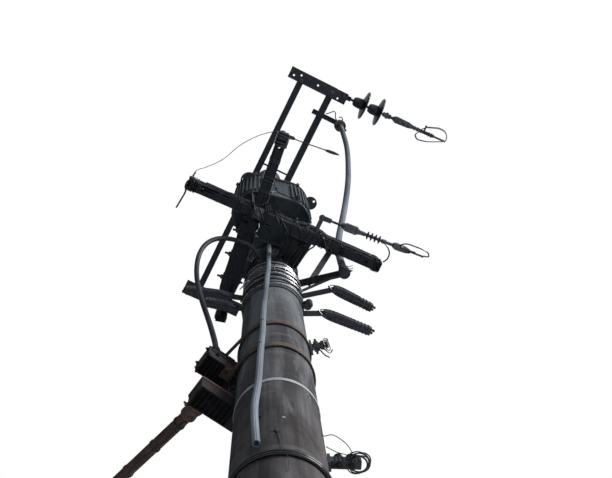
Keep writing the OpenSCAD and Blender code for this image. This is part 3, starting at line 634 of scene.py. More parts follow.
black_tie, bare_tie, pigtail = 0.0048, 0.0034, 0.0018
tight_ties = Maker()
for seed, low in enumerate(((5.790, 0.11, -125), (5.742, 0.10, -118), (6.080, 0.09, -112),
                            (5.952, 0.06, -120), (5.865, 0.10, -128))):
    tight_ties.wire(sagging_turn(*low, 0.0085, 0.004, seed), black_tie, 8, True)
tight_ties.done("black_tie_wires", black_wire, "wrap_wire")
bare_ties = Maker()
for seed, low in enumerate(((5.905, 0.05, -130), (5.915, 0.06, -122), (5.972, 0.05, -140),
                            (6.018, 0.07, -145), (6.028, 0.06, -135), (6.052, 0.05, -150),
                            (5.722, 0.09, -120), (5.835, 0.08, -110), (6.110, 0.04, -100)), 20):
    bare_ties.wire(sagging_turn(*low, 0.0080, 0.005, seed), bare_tie, 7, True)
bare_ties.done("bare_tie_wires", bare_wire, "wrap_wire")
pigtails = Maker()
for turn, z, spread in ((-62, 5.845, 9), (-166, 5.96, -10), (-28, 5.80, 8),
                        (172, 6.05, -9), (20, 5.9, 9), (95, 6.0, -8)):
    for phase in (0, 180):
        strand = []
        for k in range(17):
            bend = math.radians(phase + k * 70)
            swing = Vector((math.cos(bend), math.cos(bend), math.sin(bend))) * 0.002
            strand.append(on_pole(turn + spread * k / 16, z - 0.0022 * k, 0.006 + 0.0016 * k) + swing)
        pigtails.wire(strand, pigtail)
pigtails.done("tie_wire_pigtails", bare_wire, "wrap_wire")

# The cables held on the pole
# One turn of black cable lies squeezed under each rusty band: a real cable on the pole's right, while round
# the rest of the pole the black ring is painted shadow under the band.
# Nine runs of black cable go up the pole's head, over the low turns and under the wraps, each a little
# crooked.
squeezed = 0.0046
under_bands = Maker()
# Each closed black ring is a real cable on the pole's right and painted shadow of the band round the rest.
for foot in band_feet:
    turn = [on_pole(7.5 * k, foot - squeezed - 0.0006, squeezed + 0.0002) for k in range(48)]
    under_bands.wire(turn, squeezed, 8, True)
under_bands.done("cables_and_painted_shadow_under_bands", black_wire, "wrap_wire")
wraps_foot = 6.16
head_runs = Maker()
for start_turn, end_turn, foot_z, head_z, radius, seed in (
        (-172, -158, 5.93, 6.33, 0.0050, 1), (-160, -166, 5.99, 6.34, 0.0036, 2),
        (-150, -143, 5.90, 6.43, 0.0044, 3), (-112, -104, 5.94, 6.42, 0.0054, 4),
        (-103, -113, 5.88, 6.41, 0.0034, 5), (-92, -83, 5.96, 6.36, 0.0048, 6),
        (-80, -90, 5.90, 6.35, 0.0038, 7), (-64, -72, 5.95, 6.35, 0.0046, 8),
        (-50, -44, 5.97, 6.34, 0.0036, 9)):
    dice = random.Random(seed)
    run = []
    for k in range(8):
        turn = start_turn + (end_turn - start_turn) * k / 7 + dice.uniform(-2.5, 2.5)
        z = foot_z + (head_z - foot_z) * k / 7
        run.append(on_pole(turn, z, radius + (0.0065 if z > wraps_foot else 0.001)))
    head_runs.wire(eased(run, 4), radius, 8)
head_runs.done("head_cable_runs", black_wire, "wrap_wire")

# The conduit
# A grey flexible conduit of 27 mm with fine lengthwise ribs. It climbs the pole's front in slight
# waves over the bands, tied on with black wire, and its lower end is cut off open.
conduit_radius = 0.0135
conduit_rib = 0.0012
conduit_off = 0.0056 + conduit_radius
conduit_low, conduit_high = 4.015, 6.4303
conduit_tall = conduit_high - conduit_low
conduit_turns = (-139, -142, -138, -136, -133, -132, -128, -123, -121)
conduit_shares = (0, 0.107, 0.2, 0.307, 0.422, 0.525, 0.664, 0.832, 1)
conduit_route = eased([on_pole(turn, conduit_low + share * conduit_tall, conduit_off)
                       for turn, share in zip(conduit_turns, conduit_shares)], 10)
conduit_skin = jacket("conduit_skin", (176, 184, 196), (116, 124, 136), 0.5)
walls = round_loops(conduit_route, conduit_radius - 0.0002, 36, rib=conduit_rib)
mouth = conduit_route[0]
inwards = (conduit_route[1] - mouth).normalized()
inner_rim = [mouth + (p - mouth) * 0.78 for p in walls[0]]
conduit = Maker()
conduit.skin([[p + inwards * 0.03 for p in inner_rim], inner_rim] + walls)
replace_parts(conduit.done("front_conduit_ribbed", conduit_skin, "grey_conduit"), "front_conduit")

tie_wire, tie_slant = 0.0021, 0.012
conduit_ties = Maker()
for z in (4.848, 5.118):
    spot = conduit_route[int((z - conduit_low) / conduit_tall * (len(conduit_route) - 1))]
    middle = math.degrees(math.atan2(spot.y, spot.x))
    tie = []
    for k in range(13):
        a = math.pi * k / 12
        turn = middle + math.degrees((conduit_radius + 0.004) * math.cos(a) / pole_radius(z))
        over_it = 0.002 + (conduit_off + conduit_radius + 0.001) * math.sin(a)
        tie.append(on_pole(turn, z + tie_slant * math.cos(a), over_it))
    tie += [on_pole(middle - 6 - 8.4 * k, z - tie_slant + 0.0006 * k, 0.0022) for k in range(1, 41)]
    conduit_ties.wire(tie, tie_wire, 6, True)
conduit_ties.done("conduit_tie_wires", black_wire, "wrap_wire")

# The top frame
# Two angle rails are squeezed against the pole by long bolts and carry a plate with a turned-up
# edge at each end. Everything is galvanised steel gone dull grey, bolted up, never painted.
frame_skin = steel("frame_skin", (48, 56, 63), (24, 29, 34))
bar_skin = steel("bar_skin", (56, 64, 72), (28, 33, 40))
cover(["rail_left", "rail_right"], frame_skin)
cover(["front_end_bar", "back_end_bar"], bar_skin)
cover(["rail_bolts"], bolt_skin)
rail_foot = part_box("rail_left")[0][2]
rail_floor = rail_foot + 0.006
bar_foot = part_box("front_end_bar")[0][2]
squeeze_z = rail_foot + 0.032
squeeze_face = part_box("rail_bolts")[1][0] - 0.0095
squeeze_side = 0.145
web_face = 0.1229
end_places = ((-0.146, -0.963), (0.146, -0.990), (-0.146, 1.200), (0.146, 1.200))
end_bolt = 0.016
washer_thick = 0.003
rod_crest, rod_root, rod_pitch = 0.0088, 0.0081, 0.0012
frame_bolts = Maker()
for x, y in end_places:
    frame_bolts.bolt((x, y, rail_floor), up, end_bolt, end_bolt, roll=17)
    frame_bolts.disc((x, y, bar_foot), down, 0.021, washer_thick)
    frame_bolts.nut((x, y, bar_foot - washer_thick), down, 0.027, 0.010, 8)
for y in (-squeeze_side, squeeze_side):
    for side in (-1, 1):
        way = (side, 0, 0)
        frame_bolts.disc((side * web_face, y, squeeze_z), way, 0.018, washer_thick)
        frame_bolts.thread((side * squeeze_face, y, squeeze_z), way, rod_crest, rod_root, rod_pitch, 8, 14)
frame_bolts.done("frame_bolts", bolt_skin, "bolt_steel")

# The upper insulator string
# Two cap-and-pin porcelain discs, linked ball in socket between a forged fork on the end bar and a
# bolted dead-end clamp; the iron caps are dark, the glaze is grey and dusty. It swings on its pin.


def measured_from(origin, turn):
    """Measures points from an origin, along a level direction, across it to its left, and up."""
    def place(along, across=0.0, rise=0.0):
        return origin + heading(turn) * along + heading(turn + 90) * across + up * rise
    return place


joint_at = {joint["name"]: Vector(joint["pos_m"]) for joint in frame["joints"]}
string_turn = -2.6
string_axis, string_side = heading(string_turn), heading(string_turn + 90)
on_string = measured_from(joint_at["top_string_swing"], string_turn)
string_skin = steel("string_skin", (88, 92, 97), (48, 51, 55), 0.25)
alloy_skin = steel("alloy_skin", (98, 104, 112), (50, 55, 62), 0, 0.5, 0.6)
disc_glaze = plain_skin("disc_glaze", (54, 58, 67), (24, 26, 32), 0.2, 0.6)
cover(["string_clevis"], string_skin)
cover(["disc_one", "disc_two"], disc_glaze)
cover(["dead_end_clamp"], alloy_skin)
disc_middles = (0.1783, 0.3243)
disc_radius = 0.1275
lip_thick = 0.0032
cap_rings = [(0.0268, -0.0917), (0.0368, -0.0842), (0.0395, -0.078), (0.0415, -0.070), (0.0448, -0.060),
             (0.0462, -0.040), (0.0478, -0.012), (0.0520, -0.0105), (0.0526, -0.0085)]
caps = Maker()
glaze_ribs = Maker()
for x in disc_middles:
    caps.turned(on_string(x), string_axis, cap_rings, 40)
    caps.turned(on_string(x + 0.026), string_axis, [(0.0195, 0), (0.0150, 0.008), (0.0110, 0.014)], 24)
    caps.turned(on_string(x - 0.0805, 0, 0.030), up, [(0.006, 0), (0.006, 0.006), (0.004, 0.009)], 12)
    for radius, depth in ((0.112, 0.016), (0.078, 0.0205), (0.040, 0.018)):
        glaze_ribs.ring(on_string(x + depth), string_side * radius, up * radius, 0.0042, 72, 8)
    lip = disc_radius - lip_thick
    glaze_ribs.ring(on_string(x + 0.0135), string_side * lip, up * lip, lip_thick, 96, 8)
caps.done("disc_caps", string_skin, "string_steel", "top_string")
glaze_ribs.done("disc_glaze_ribs", disc_glaze, "disc_porcelain", "top_string")


def split_pin(maker, place, z, legs, spread, thick):
    """A doubled wire pushed through a pin's end and bent open; legs are its bends along the string."""
    start, near, far, end = legs
    bends = [(start, spread), (near, 0), (far, spread), (end, 0), (far, -spread), (near, 0)]
    maker.wire(eased([place(x, y, z) for x, y in bends], 4), thick)


string_bolts = Maker()
string_bolts.turned(on_string(0, 0, 0.0235), up, [(0.014, 0), (0.014, 0.004), (0.011, 0.006)])
string_bolts.disc(on_string(0, 0, -0.0185), down, 0.015, 0.002)
split_pin(string_bolts, on_string, -0.0225, (0.011, -0.010, -0.016, -0.021), 0.004, 0.0014)
clamp_start = 0.3783
saddle_places = [clamp_start + x for x in (0.150, 0.200, 0.250)]
saddle_bend = ((-0.022, 0.004), (-0.022, 0.017), (-0.010, 0.0225),
               (0.010, 0.0225), (0.022, 0.017), (0.022, 0.004))
saddle_crest, saddle_root, saddle_pitch = 0.0056, 0.0050, 0.0014
saddle_radius = 0.0052
keeper = Maker()
for x in saddle_places:
    string_bolts.thread(on_string(x, 0, 0.0435), up, saddle_crest, saddle_root, saddle_pitch, 9, 12)
    string_bolts.disc(on_string(x, 0, -0.0205), down, 0.013, 0.002, 18)
    string_bolts.nut(on_string(x, 0, -0.0225), down, 0.019, 0.008, 12)
    keeper.wire(eased([on_string(x, y, z) for y, z in saddle_bend], 5), saddle_radius, 8)
for side in (-1, 1):
    string_bolts.nut(on_string(clamp_start + 0.036, side * 0.0205), string_side * side, 0.022, 0.008, 5)
for y in (-0.058, -0.048):
    string_bolts.nut(on_string(clamp_start + 0.404, y, -0.009), -string_side, 0.022, 0.006, 20)
string_bolts.done("string_bolts", bolt_skin, "string_steel", "top_string")
clip_radius = 0.0185
for x in (0.312, 0.345, 0.378, 0.455, 0.480):
    clip_middle = on_string(clamp_start + x, 0, -0.009)
    keeper.ring(clip_middle, string_side * clip_radius, up * clip_radius, 0.0034, 16)
keeper.block(on_string(clamp_start + 0.200, 0, 0.0185), (0.006, 0.034, 0.140), string_axis)
keeper.done("clamp_keepers", alloy_skin, "clamp_alloy", "top_string")

# The upper string's tail
# The conductor's spare end comes out of the clamp and lies in a slack, twice-laid loop beside it.
# It is stranded alloy gone dull and dark.
dull_wire = plain_skin("dull_wire", (84, 89, 96), (38, 42, 48), 0.5, scale=80)
tail_loop = [(0.660, 0.006, 0.006), (0.748, 0.004, 0.010), (0.726, 0.052, 0.012), (0.759, 0.082, 0.012),
             (0.819, 0.075, 0.010), (0.858, 0.064, 0.010), (0.917, 0.039, 0.008), (0.974, 0.012, 0.006),
             (1.000, -0.010, 0.004), (0.996, -0.045, 0.004), (0.960, -0.082, 0.006), (0.900, -0.088, 0.008),
             (0.845, -0.070, 0.010), (0.800, -0.052, 0.014), (0.765, -0.020, 0.016)]
inner_loop = [(x, y * 0.93 + 0.001, z - 0.009) for x, y, z in tail_loop[2:-1]]
strand_radius = 0.0044
conductor_tail = Maker()
conductor_tail.wire(eased([on_string(*p) for p in tail_loop], 5), strand_radius, 8)
conductor_tail.wire(eased([on_string(*p) for p in inner_loop], 5), 0.0030)
conductor_tail.done("upper_tail_loop", dull_wire, "clamp_alloy", "top_string")

# The riser's upper end
# A short angle iron bolted under the right rail holds a brown shedded cable end by its stud, with a
# crimped lug, its bolt and a bent bridging wire on top; a strap and tape close the cable's neck.
bracket_skin = steel("bracket_skin", (56, 63, 69), (27, 31, 36), 0.3)
cover(["cable_bracket"], bracket_skin)
brown_glaze = plain_skin("brown_glaze", (92, 64, 54), (44, 29, 25), 0.25, 0.7)
cover(["cable_termination"], brown_glaze)
stud = Vector((0.330, -0.765, 9.2204))
lug = Maker()
lug.block(stud + Vector((0.020, 0.006, -0.0085)), (0.060, 0.026, 0.005), up, 17)
lug.turned(stud + Vector((0.046, 0.014, -0.006)), (1, 0.3, 0.08),
           [(0.010, 0), (0.011, 0.012), (0.011, 0.040), (0.007, 0.048)], 16)
lug.bolt(stud - up * 0.006, up, 0.012, 0.010, roll=11)
lug.done("termination_lug", alloy_skin, "clamp_alloy")
lead_radius = 0.0045
bridge = Maker()
bridge.wire(eased([(0.322, -0.770, 9.226), (0.285, -0.800, 9.246), (0.262, -0.842, 9.250),
                   (0.240, -0.838, 9.244), (0.214, -0.812, 9.236), (0.190, -0.795, 9.222)]), lead_radius, 8)
bridge.wire(eased([(0.334, -0.760, 9.222), (0.352, -0.772, 9.238), (0.350, -0.812, 9.238),
                   (0.330, -0.826, 9.230), (0.308, -0.818, 9.226)]), lead_radius, 8)
bridge.done("termination_bridge_wires", black_wire, "wrap_wire")
bracket_foot = 9.172
bracket_y = -0.768
bracket_bolt, thin_washer = 0.010, 0.002
bracket_bolts = Maker()
for x in (0.145, 0.166):
    bracket_bolts.disc((x, bracket_y, bracket_foot), down, bracket_bolt, thin_washer, 16)
    bracket_bolts.nut((x, bracket_y, bracket_foot - thin_washer), down, 0.015, 0.008, 14)
    bracket_bolts.bolt((x, bracket_y, rail_floor), up, bracket_bolt, bracket_bolt)
bracket_bolts.done("cable_bracket_bolts", bolt_skin, "bracket_steel")
neck_at = Vector((0.330, -0.765, 9.006))
neck_radius, tape_thick = 0.0235, 0.0040
neck = Maker()
for rise in (0, 0.0075, 0.015, 0.0225):
    neck.hoop(neck_at + up * rise, neck_radius, tape_thick, 28)
neck.block(neck_at + Vector((0, -0.0265, 0.012)), (0.020, 0.012, 0.026))
neck.nut(neck_at + Vector((0, -0.032, 0.012)), (0, -1, 0), 0.012, 0.006)
neck.done("termination_neck_strap", black_wire, "wrap_wire")

# The riser's foot
# The cable stands in a cup on a flat bar that is clamped round the pole; two light plastic tie straps
# hold it in the cup, and bolts close this clamp and the arms' own ones behind the pole.
cover(["riser_bracket"], bracket_skin)
cup = Vector((0.318, -0.262, 6.120))
foot_turn = math.degrees(math.atan2(cup.y, cup.x))
foot_out, foot_side = heading(foot_turn), heading(foot_turn + 90)
cup_radius, rib_thick = 0.0312, 0.0022
cup_bolt = 0.008
cup_trim = Maker()
for depth in (0.003, 0.020, 0.038):
    cup_trim.hoop(cup + down * depth, cup_radius, rib_thick, 36)
cup_trim.bolt(cup + foot_out * 0.031 + down * 0.020, foot_out, cup_bolt, cup_bolt, roll=8)
for side in (-0.012, 0.012):
    cup_trim.bolt(cup - foot_out * 0.16 + foot_side * side + down * 0.0235, up, 0.009, 0.006)
cup_trim.done("riser_cup_trim", bracket_skin, "bracket_steel")
tie_radius, tie_thick = 0.0228, 0.0017
ties = Maker()
for rise in (0.030, 0.075):
    at = cup + up * rise
    ties.hoop(at, tie_radius, tie_thick)
    ties.block(at + foot_out * 0.025, (0.007, 0.009, 0.008), foot_out)
    tongue = at + foot_out * 0.043 + foot_side * 0.004 + up * 0.004
    ties.block(tongue, (0.004, 0.0016, 0.030), foot_out, edge=0.0004)
tie_plastic = plain_skin("tie_plastic", (150, 154, 158), (96, 100, 106), 0.5)
ties.done("riser_foot_ties", tie_plastic, "clamp_plastic")


def band_lock(maker, z, turn, rise, thread):
    """Two ears and a bolt that close a flat clamp band behind the pole."""
    out, side = heading(turn), heading(turn + 90)
    face = on_pole(turn, z, 0.0045)
    gap = 0.022
    ear_thick, ear_long = 0.005, 0.038
    ear, rod = face + out * 0.018, face + out * 0.022
    for s, reach in ((-1, 0.012), (1, 0.006)):
        maker.block(ear + side * s * gap / 2, (ear_thick, ear_long, rise), up, turn - 90)
        maker.bolt(rod + side * s * (gap + ear_thick + 0.0002) / 2, side * s, thread, reach)
    maker.disc(rod - side * gap / 2, side, thread / 2, gap, 12)


locks = Maker()
for z, turn, rise, thread in (
        (6.092, 130, 0.028, 0.009), (6.261, 96, 0.052, 0.011), (6.3413, 24, 0.036, 0.011)):
    band_lock(locks, z, turn, rise, thread)
locks.done("bracket_band_locks", bracket_skin, "bracket_steel")

# The crossarms
# Two creosoted timber arms cross in front of the pole, gone nearly black and split along the grain. A
# king bolt holds them where they cross, and square-washered bolts hold each one to its bracket.
arm_tall = 0.080
arm_deep = 0.056
arm_face = arm_deep / 2
cheek_face = arm_face + 0.034
front_arm_turn = -1.6
side_arm_turn = -7
front_arm_middle = Vector((-0.075, -0.330, 6.261))
side_arm_middle = Vector((-0.232, -0.212, 6.3413))
on_front_arm = measured_from(front_arm_middle, front_arm_turn)
on_side_arm = measured_from(side_arm_middle, side_arm_turn + 90)
front_side = heading(front_arm_turn - 90)
left_side = heading(side_arm_turn + 180)


def timber(name, turn, stretch):
    """Tarred timber: long grain, drying checks, grime and greyed, worn corners."""
    wood = Finish(name)
    square = {"Vector": wood.place, "Rotation": (0, 0, math.radians(-turn))}
    wood.place = wired(wood.tree, "ShaderNodeMapping", square).outputs[0]
    grain = wood.noise(80, 7, 0.7, stretch, 0.9)
    bands = wood.noise(26, 4, 0.6, [v * 0.5 if v < 1 else v for v in stretch], 0.6)
    checks = wood.noise(52, 3, 0.5, [v * 0.6 if v < 1 else v for v in stretch])
    tar = wood.noise(7, 6, 0.65)
    wood.ground((12, 13, 17), (62, 61, 66), grain, 0.40, 0.62)
    wood.lay((17, 18, 23), bands, 0.44, 0.60, 0.75)
    wood.lay((9, 10, 14), tar, 0.42, 0.62, 0.8)
    wood.rub((84, 88, 96), 0.5)
    wood.lay((4, 4, 6), checks, 0.585, 0.61)
    wood.dig(wood.between(checks, 0.585, 0.61, 1, 0), 0.006, 1)
    wood.dig(grain, 0.004, 0.8)
    wood.dig(wood.noise(420, 3, 0.6, stretch), 0.0008, 0.5)
    return wood.done(wood.between(tar, 0.4, 0.65, 0.82, 0.62), shine=0.3)


cover(["front_crossarm"], timber("front_arm_wood", front_arm_turn, (0.05, 1, 1)))
cover(["side_crossarm", "side_arm_cheek"], timber("side_arm_wood", side_arm_turn, (1, 0.05, 1)))
cover(["front_arm_bracket", "side_arm_bracket", "arm_brace"], bracket_skin)


def arm_bolt(maker, at, axis, thread=0.014, reach=0.020, washer=0.046):
    """A through bolt's end: square washer let flat on the wood, nut and thread."""
    thick = 0.0044
    maker.block(at + axis * thick / 2, (washer, washer, thick), axis)
    maker.bolt(at + axis * thick, axis, thread, reach, False, 11)


crossing = on_front_arm(-0.1710)
arm_bolts = Maker()
for along in (0.045, 0.118):
    arm_bolt(arm_bolts, on_front_arm(along, -arm_face), front_side)
for rise in (-0.024, 0.024):
    arm_bolts.bolt(on_front_arm(0.173, -arm_face - 0.0083, rise), front_side, 0.010, 0.008)
arm_bolt(arm_bolts, crossing + down * arm_tall / 2, down, 0.018, 0.022, 0.052)
arm_bolt(arm_bolts, crossing + up * arm_tall * 1.5, up, 0.018, 0.020, 0.052)
arm_bolt(arm_bolts, on_side_arm(-0.045, arm_face), left_side)
for along in (0.040, 0.185, 0.330):
    arm_bolt(arm_bolts, on_side_arm(along, cheek_face), left_side)
    arm_bolt(arm_bolts, on_side_arm(along, -arm_face), -left_side, 0.014, 0.012)
for along in (0.284, 0.306):
    arm_bolts.bolt(on_front_arm(along, -arm_face), front_side, 0.010, 0.008)
arm_bolts.done("arm_bolts", bolt_skin, "bolt_steel")

# The lashings on the arms
# Black covered wire is wound round each arm near its ends and lashed over the crossing, with dull bare
# binding wire beside it. Each lashing is pulled tight by hand, turn after turn.


def wound(place, start, pitch, turns, radius, seed):
    """A wire wound round an arm; place says where a point of that arm is."""
    dice = random.Random(seed)
    bend = 0.006
    wide, high = arm_deep / 2 + radius, arm_tall / 2 + radius
    rim = [(wide - bend, -high), (wide, bend - high), (wide, high - bend), (wide - bend, high),
           (bend - wide, high), (-wide, high - bend), (-wide, bend - high), (bend - wide, -high)]
    points = []
    for k in range(turns * len(rim) + 1):
        across, rise = rim[k % len(rim)]
        points.append(place(start + pitch * (k / len(rim) + dice.uniform(-0.35, 0.35)), across, rise))
    return points


def square_lashing(turn_count, radius, spread, lift, seed):
    """A lashing that goes over the side arm and under the front arm, turn after turn."""
    dice = random.Random(seed)
    over, under = arm_tall * 1.5 + radius + lift, -arm_tall / 2 - radius - lift
    reach = arm_deep / 2 + radius + 0.002
    corners = [(-1, -1, over), (1, -1, over), (1, -1, under), (1, 1, under),
               (1, 1, over), (-1, 1, over), (-1, 1, under), (-1, -1, under)]
    points = []
    for k in range(turn_count * len(corners) + 1):
        x, y, rise = corners[k % len(corners)]
        out = reach + spread * (k // len(corners)) + dice.uniform(0, 0.003)
        points.append(crossing + Vector((x * out, y * out, rise + dice.uniform(-0.001, 0.001))))
    return points


black_lashings = Maker()
for place, start, pitch, turns, radius in (
        (on_front_arm, -0.586, 0.009, 5, 0.0042), (on_front_arm, 0.548, 0.008, 5, 0.0038),
        (on_front_arm, 0.330, 0.011, 3, 0.0034), (on_front_arm, 0.215, 0.010, 3, 0.0034),
        (on_front_arm, -0.300, 0.010, 3, 0.0032), (on_side_arm, -0.572, 0.010, 7, 0.0048),
        (on_side_arm, -0.330, 0.012, 3, 0.0034), (on_side_arm, 0.545, 0.009, 4, 0.0040)):
    black_lashings.wire(wound(place, start, pitch, turns, radius, turns), radius, 7)
black_lashings.wire(square_lashing(3, 0.0040, 0.009, 0.0045, 3), 0.0040, 7)
black_lashings.done("arm_black_lashings", black_wire, "wrap_wire")
binding = 0.0016
bare_lashings = Maker()
for place, start, pitch, turns in (
        (on_front_arm, -0.540, 0.006, 4), (on_front_arm, -0.420, 0.007, 3), (on_front_arm, 0.400, 0.007, 4),
        (on_front_arm, 0.255, 0.006, 3), (on_side_arm, -0.430, 0.006, 4), (on_side_arm, -0.250, 0.008, 3)):
    bare_lashings.wire(wound(place, start, pitch, turns, binding, turns + 9), binding)
bare_lashings.wire(square_lashing(4, 0.0018, 0.0045, 0.0005, 5), 0.0018)
bare_lashings.done("arm_bare_lashings", dull_wire, "wrap_wire")

# The spare tails along the front arm
# Short lengths of black cable lie flat on the arm's face, one above the other, held by its lashings
# and lifted over the bracket's plate. Each is closed by a shrunk cap.
spare_tails = Maker()
for rise, radius, start, end, wobble, seed in (
        (0.022, 0.0065, -0.02, 0.560, 0.004, 1), (0.004, 0.0050, -0.10, 0.520, 0.005, 2),
        (-0.014, 0.0058, 0.235, 0.572, 0.004, 3), (0.031, 0.0040, -0.12, 0.30, 0.003, 4),
        (-0.004, 0.0042, -0.560, -0.235, 0.005, 5), (0.020, 0.0050, -0.500, -0.225, 0.004, 6)):
    dice = random.Random(seed)
    tail = []
    for k in range(10):
        along = start + (end - start) * k / 9
        at_plate = 0.090 < along < 0.215
        off = 0.0135 if at_plate else 0.0022
        lift = 0.012 if at_plate and rise > 0 else 0
        height = rise + dice.uniform(-wobble, wobble) + lift
        tail.append(on_front_arm(along, -arm_face - radius - off, height))
    path = eased(tail, 5)
    spare_tails.wire(path, radius, 9)
    cap = [(radius * 1.2, -0.028), (radius * 1.3, -0.010), (radius * 1.2, 0.002), (radius * 0.5, 0.007)]
    spare_tails.turned(path[-1], path[-1] - path[-2], cap, 10)
spare_tails.done("spare_cable_tails", black_wire, "wrap_wire")

# The slack wires and the cables from arm to pole
# Thin cables wind slackly along the arms, standing off them, and six more leave the front arm's
# underside, pass under its bracket's web and run down the pole's head. All are black, and only tied.


def loosely(place, start, end, turns, slack, seed):
    """A route wound slackly along an arm, standing off it by uneven amounts."""
    dice = random.Random(seed)
    steps = turns * 6
    phase = dice.uniform(0, 2 * math.pi)
    points = []
    for k in range(steps + 1):
        a = phase + 2 * math.pi * k / 6
        off = dice.uniform(0.2, 1) * slack
        across = math.cos(a) * (arm_deep * 0.625 + off)
        rise = math.sin(a) * (arm_tall * 0.625 + off)
        along = start + (end - start) * k / steps + dice.uniform(-0.012, 0.012)
        points.append(place(along, across, rise))
    return eased(points, 4)


slack_wires = Maker()
for place, start, end, turns, radius, slack, seed in (
        (on_front_arm, -0.280, 0.230, 2, 0.0044, 0.014, 51),
        (on_front_arm, -0.240, 0.300, 2, 0.0034, 0.020, 52),
        (on_front_arm, -0.210, 0.120, 2, 0.0028, 0.024, 53),
        (on_front_arm, -0.130, 0.340, 1, 0.0050, 0.012, 54),
        (on_front_arm, -0.270, 0.140, 1, 0.0024, 0.024, 55),
        (on_side_arm, -0.290, 0.060, 2, 0.0030, 0.016, 56)):
    slack_wires.wire(loosely(place, start, end, turns, slack, seed), radius, 7)
for start, end, seed in ((-0.250, 0.080, 61), (-0.160, 0.240, 62)):
    slack_wires.wire(loosely(on_front_arm, start, end, 2, 0.022, seed), binding)
slack_wires.done("slack_wires", black_wire, "wrap_wire")

arm_foot, arm_top = (corner[2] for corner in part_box("front_crossarm"))
web_foot = (arm_foot + arm_top) / 2 - 0.004
drop_runs = Maker()
for under_arm, at_edge, under_web, turn, radius in (
        ((-0.045, -0.345), (-0.030, -0.292), (0.000, -0.246), -88, 0.0050),
        ((0.012, -0.350), (0.030, -0.294), (0.056, -0.250), -76, 0.0040),
        ((0.095, -0.345), (0.078, -0.290), (0.045, -0.240), -82, 0.0045),
        ((0.060, -0.350), (0.050, -0.296), (0.078, -0.246), -66, 0.0034),
        ((-0.090, -0.345), (-0.062, -0.290), (-0.030, -0.242), -99, 0.0038),
        ((0.128, -0.345), (0.120, -0.292), (0.104, -0.246), -58, 0.0048)):
    run = [(*under_arm, arm_foot - radius - 0.001), (*at_edge, arm_foot + 0.008),
           (*under_web, web_foot - radius)]
    for step, z, off in ((0, 6.222, 0.0065), (-3, 6.180, 0.0065), (-5, 6.120, 0.002), (-4, 6.060, 0.002)):
        run.append(on_pole(turn + step, z, radius + off))
    drop_runs.wire(eased(run, 5), radius, 8)
drop_runs.done("arm_to_pole_cables", black_wire, "wrap_wire")

# The trim at the arms' ends
# A small coil of spare wire lies on the front arm, black stubs with shrunk sleeves are tied to the
# ends of both arms, and one stiff dull wire bows from the end of one arm to the end of the other.
coil_middle = on_front_arm(-0.335, 0, arm_tall / 2)
coil_radius, coil_wire = 0.040, 0.0021
tail_coil = Maker()
for k in range(5):
    radius = coil_radius + 0.0035 * k
    turn = []
    for a in (2 * math.pi * j / 28 for j in range(28)):
        wave = 0.004 + 0.0034 * k + 0.003 * math.sin(3 * a + k)
        turn.append(coil_middle + Vector((radius * 1.25 * math.cos(a), radius * 0.62 * math.sin(a), wave)))
    tail_coil.wire(turn, coil_wire, 6, True)
tail_coil.done("arm_tail_coil", black_wire, "wrap_wire")

arm_stub = Maker()
left_clamp = on_front_arm(-0.575, -0.036, -0.030)
arm_stub.wire(eased([left_clamp, (-0.672, -0.330, 6.214), (-0.673, -0.300, 6.203), (-0.660, -0.276, 6.200),
                     (-0.662, -0.232, 6.199), (-0.668, -0.170, 6.196)], 5), 0.0046, 8)
arm_stub.turned(left_clamp, (-0.97, -0.1, -0.2),
                [(0.009, -0.02), (0.011, -0.014), (0.011, 0.014), (0.008, 0.022)], 14)
near_clamp = on_side_arm(-0.566, -0.034, 0.006)
arm_stub.wire(eased([near_clamp, (-0.180, -0.783, 6.358), (-0.110, -0.792, 6.360), (-0.030, -0.801, 6.361),
                     (0.032, -0.808, 6.361)], 5), 0.0032, 8)
sleeve_way = (0.062, -0.007, 0)
arm_stub.turned((-0.052, -0.7985, 6.3608), sleeve_way,
                [(0.0040, 0), (0.0085, 0.018), (0.0090, 0.052), (0.0050, 0.078), (0.0035, 0.084)], 14)
arm_stub.turned(near_clamp, sleeve_way,
                [(0.0075, -0.012), (0.0105, -0.006), (0.0105, 0.024), (0.0060, 0.034)], 14)
arm_stub.done("arm_end_stubs", black_wire, "wrap_wire")

bow = [on_front_arm(-0.583, -0.034, 0.034), (-0.652, -0.384, 6.325), (-0.608, -0.420, 6.365),
       (-0.544, -0.491, 6.412), (-0.491, -0.603, 6.424), (-0.423, -0.696, 6.426), (-0.348, -0.763, 6.412),
       (-0.296, -0.792, 6.392), on_side_arm(-0.574, 0.030, 0.030)]
bow_radius = 0.0021
bow_wire = Maker()
bow_wire.wire(eased(bow), bow_radius)
for end, beside in ((bow[0], bow[1]), (bow[-1], bow[-2])):
    way = (Vector(beside) - end).normalized()
    side = way.orthogonal().normalized() * bow_radius * 2
    for k in range(7):
        bow_wire.ring(end + way * (0.006 + 0.0042 * k), side, way.cross(side), 0.0015, 10, 5)
bow_wire.done("stiff_wire_bow", dull_wire, "wrap_wire")

# The lower insulator string
# A grey silicone rod insulator between a cast wedge clamp and a dead-end body. Its fork is pinned to
# an eye plate on the front arm, so that the whole string can swing to the sides.
low_turn = -4.4
low_axis, low_side = heading(low_turn), heading(low_turn + 90)
on_low = measured_from(joint_at["low_string_swing"], low_turn)
shed_skin = plain_skin("shed_skin", (104, 112, 122), (62, 69, 78), 0.5)
cover(["polymer_insulator"], shed_skin)
cover(["low_string_eye"], string_skin)
cover(["low_string_link", "low_dead_end"], alloy_skin)
shed_rings = [(0.0095, -0.010), (0.0125, -0.0035), (0.0170, -0.0012), (0.0170, 0.0012), (0.0110, 0.006)]
first_shed, shed_step = 0.2803, 0.024
shed_radius = 0.0222
shed_lips = Maker()
for k in range(4):
    middle = on_low(first_shed + shed_step * k)
    shed_lips.ring(middle, low_side * shed_radius, up * shed_radius, 0.0017, 40)
    shed_lips.turned(middle, low_axis, shed_rings, 24)
shed_lips.done("shed_lips", shed_skin, "polymer_shed", "low_string")

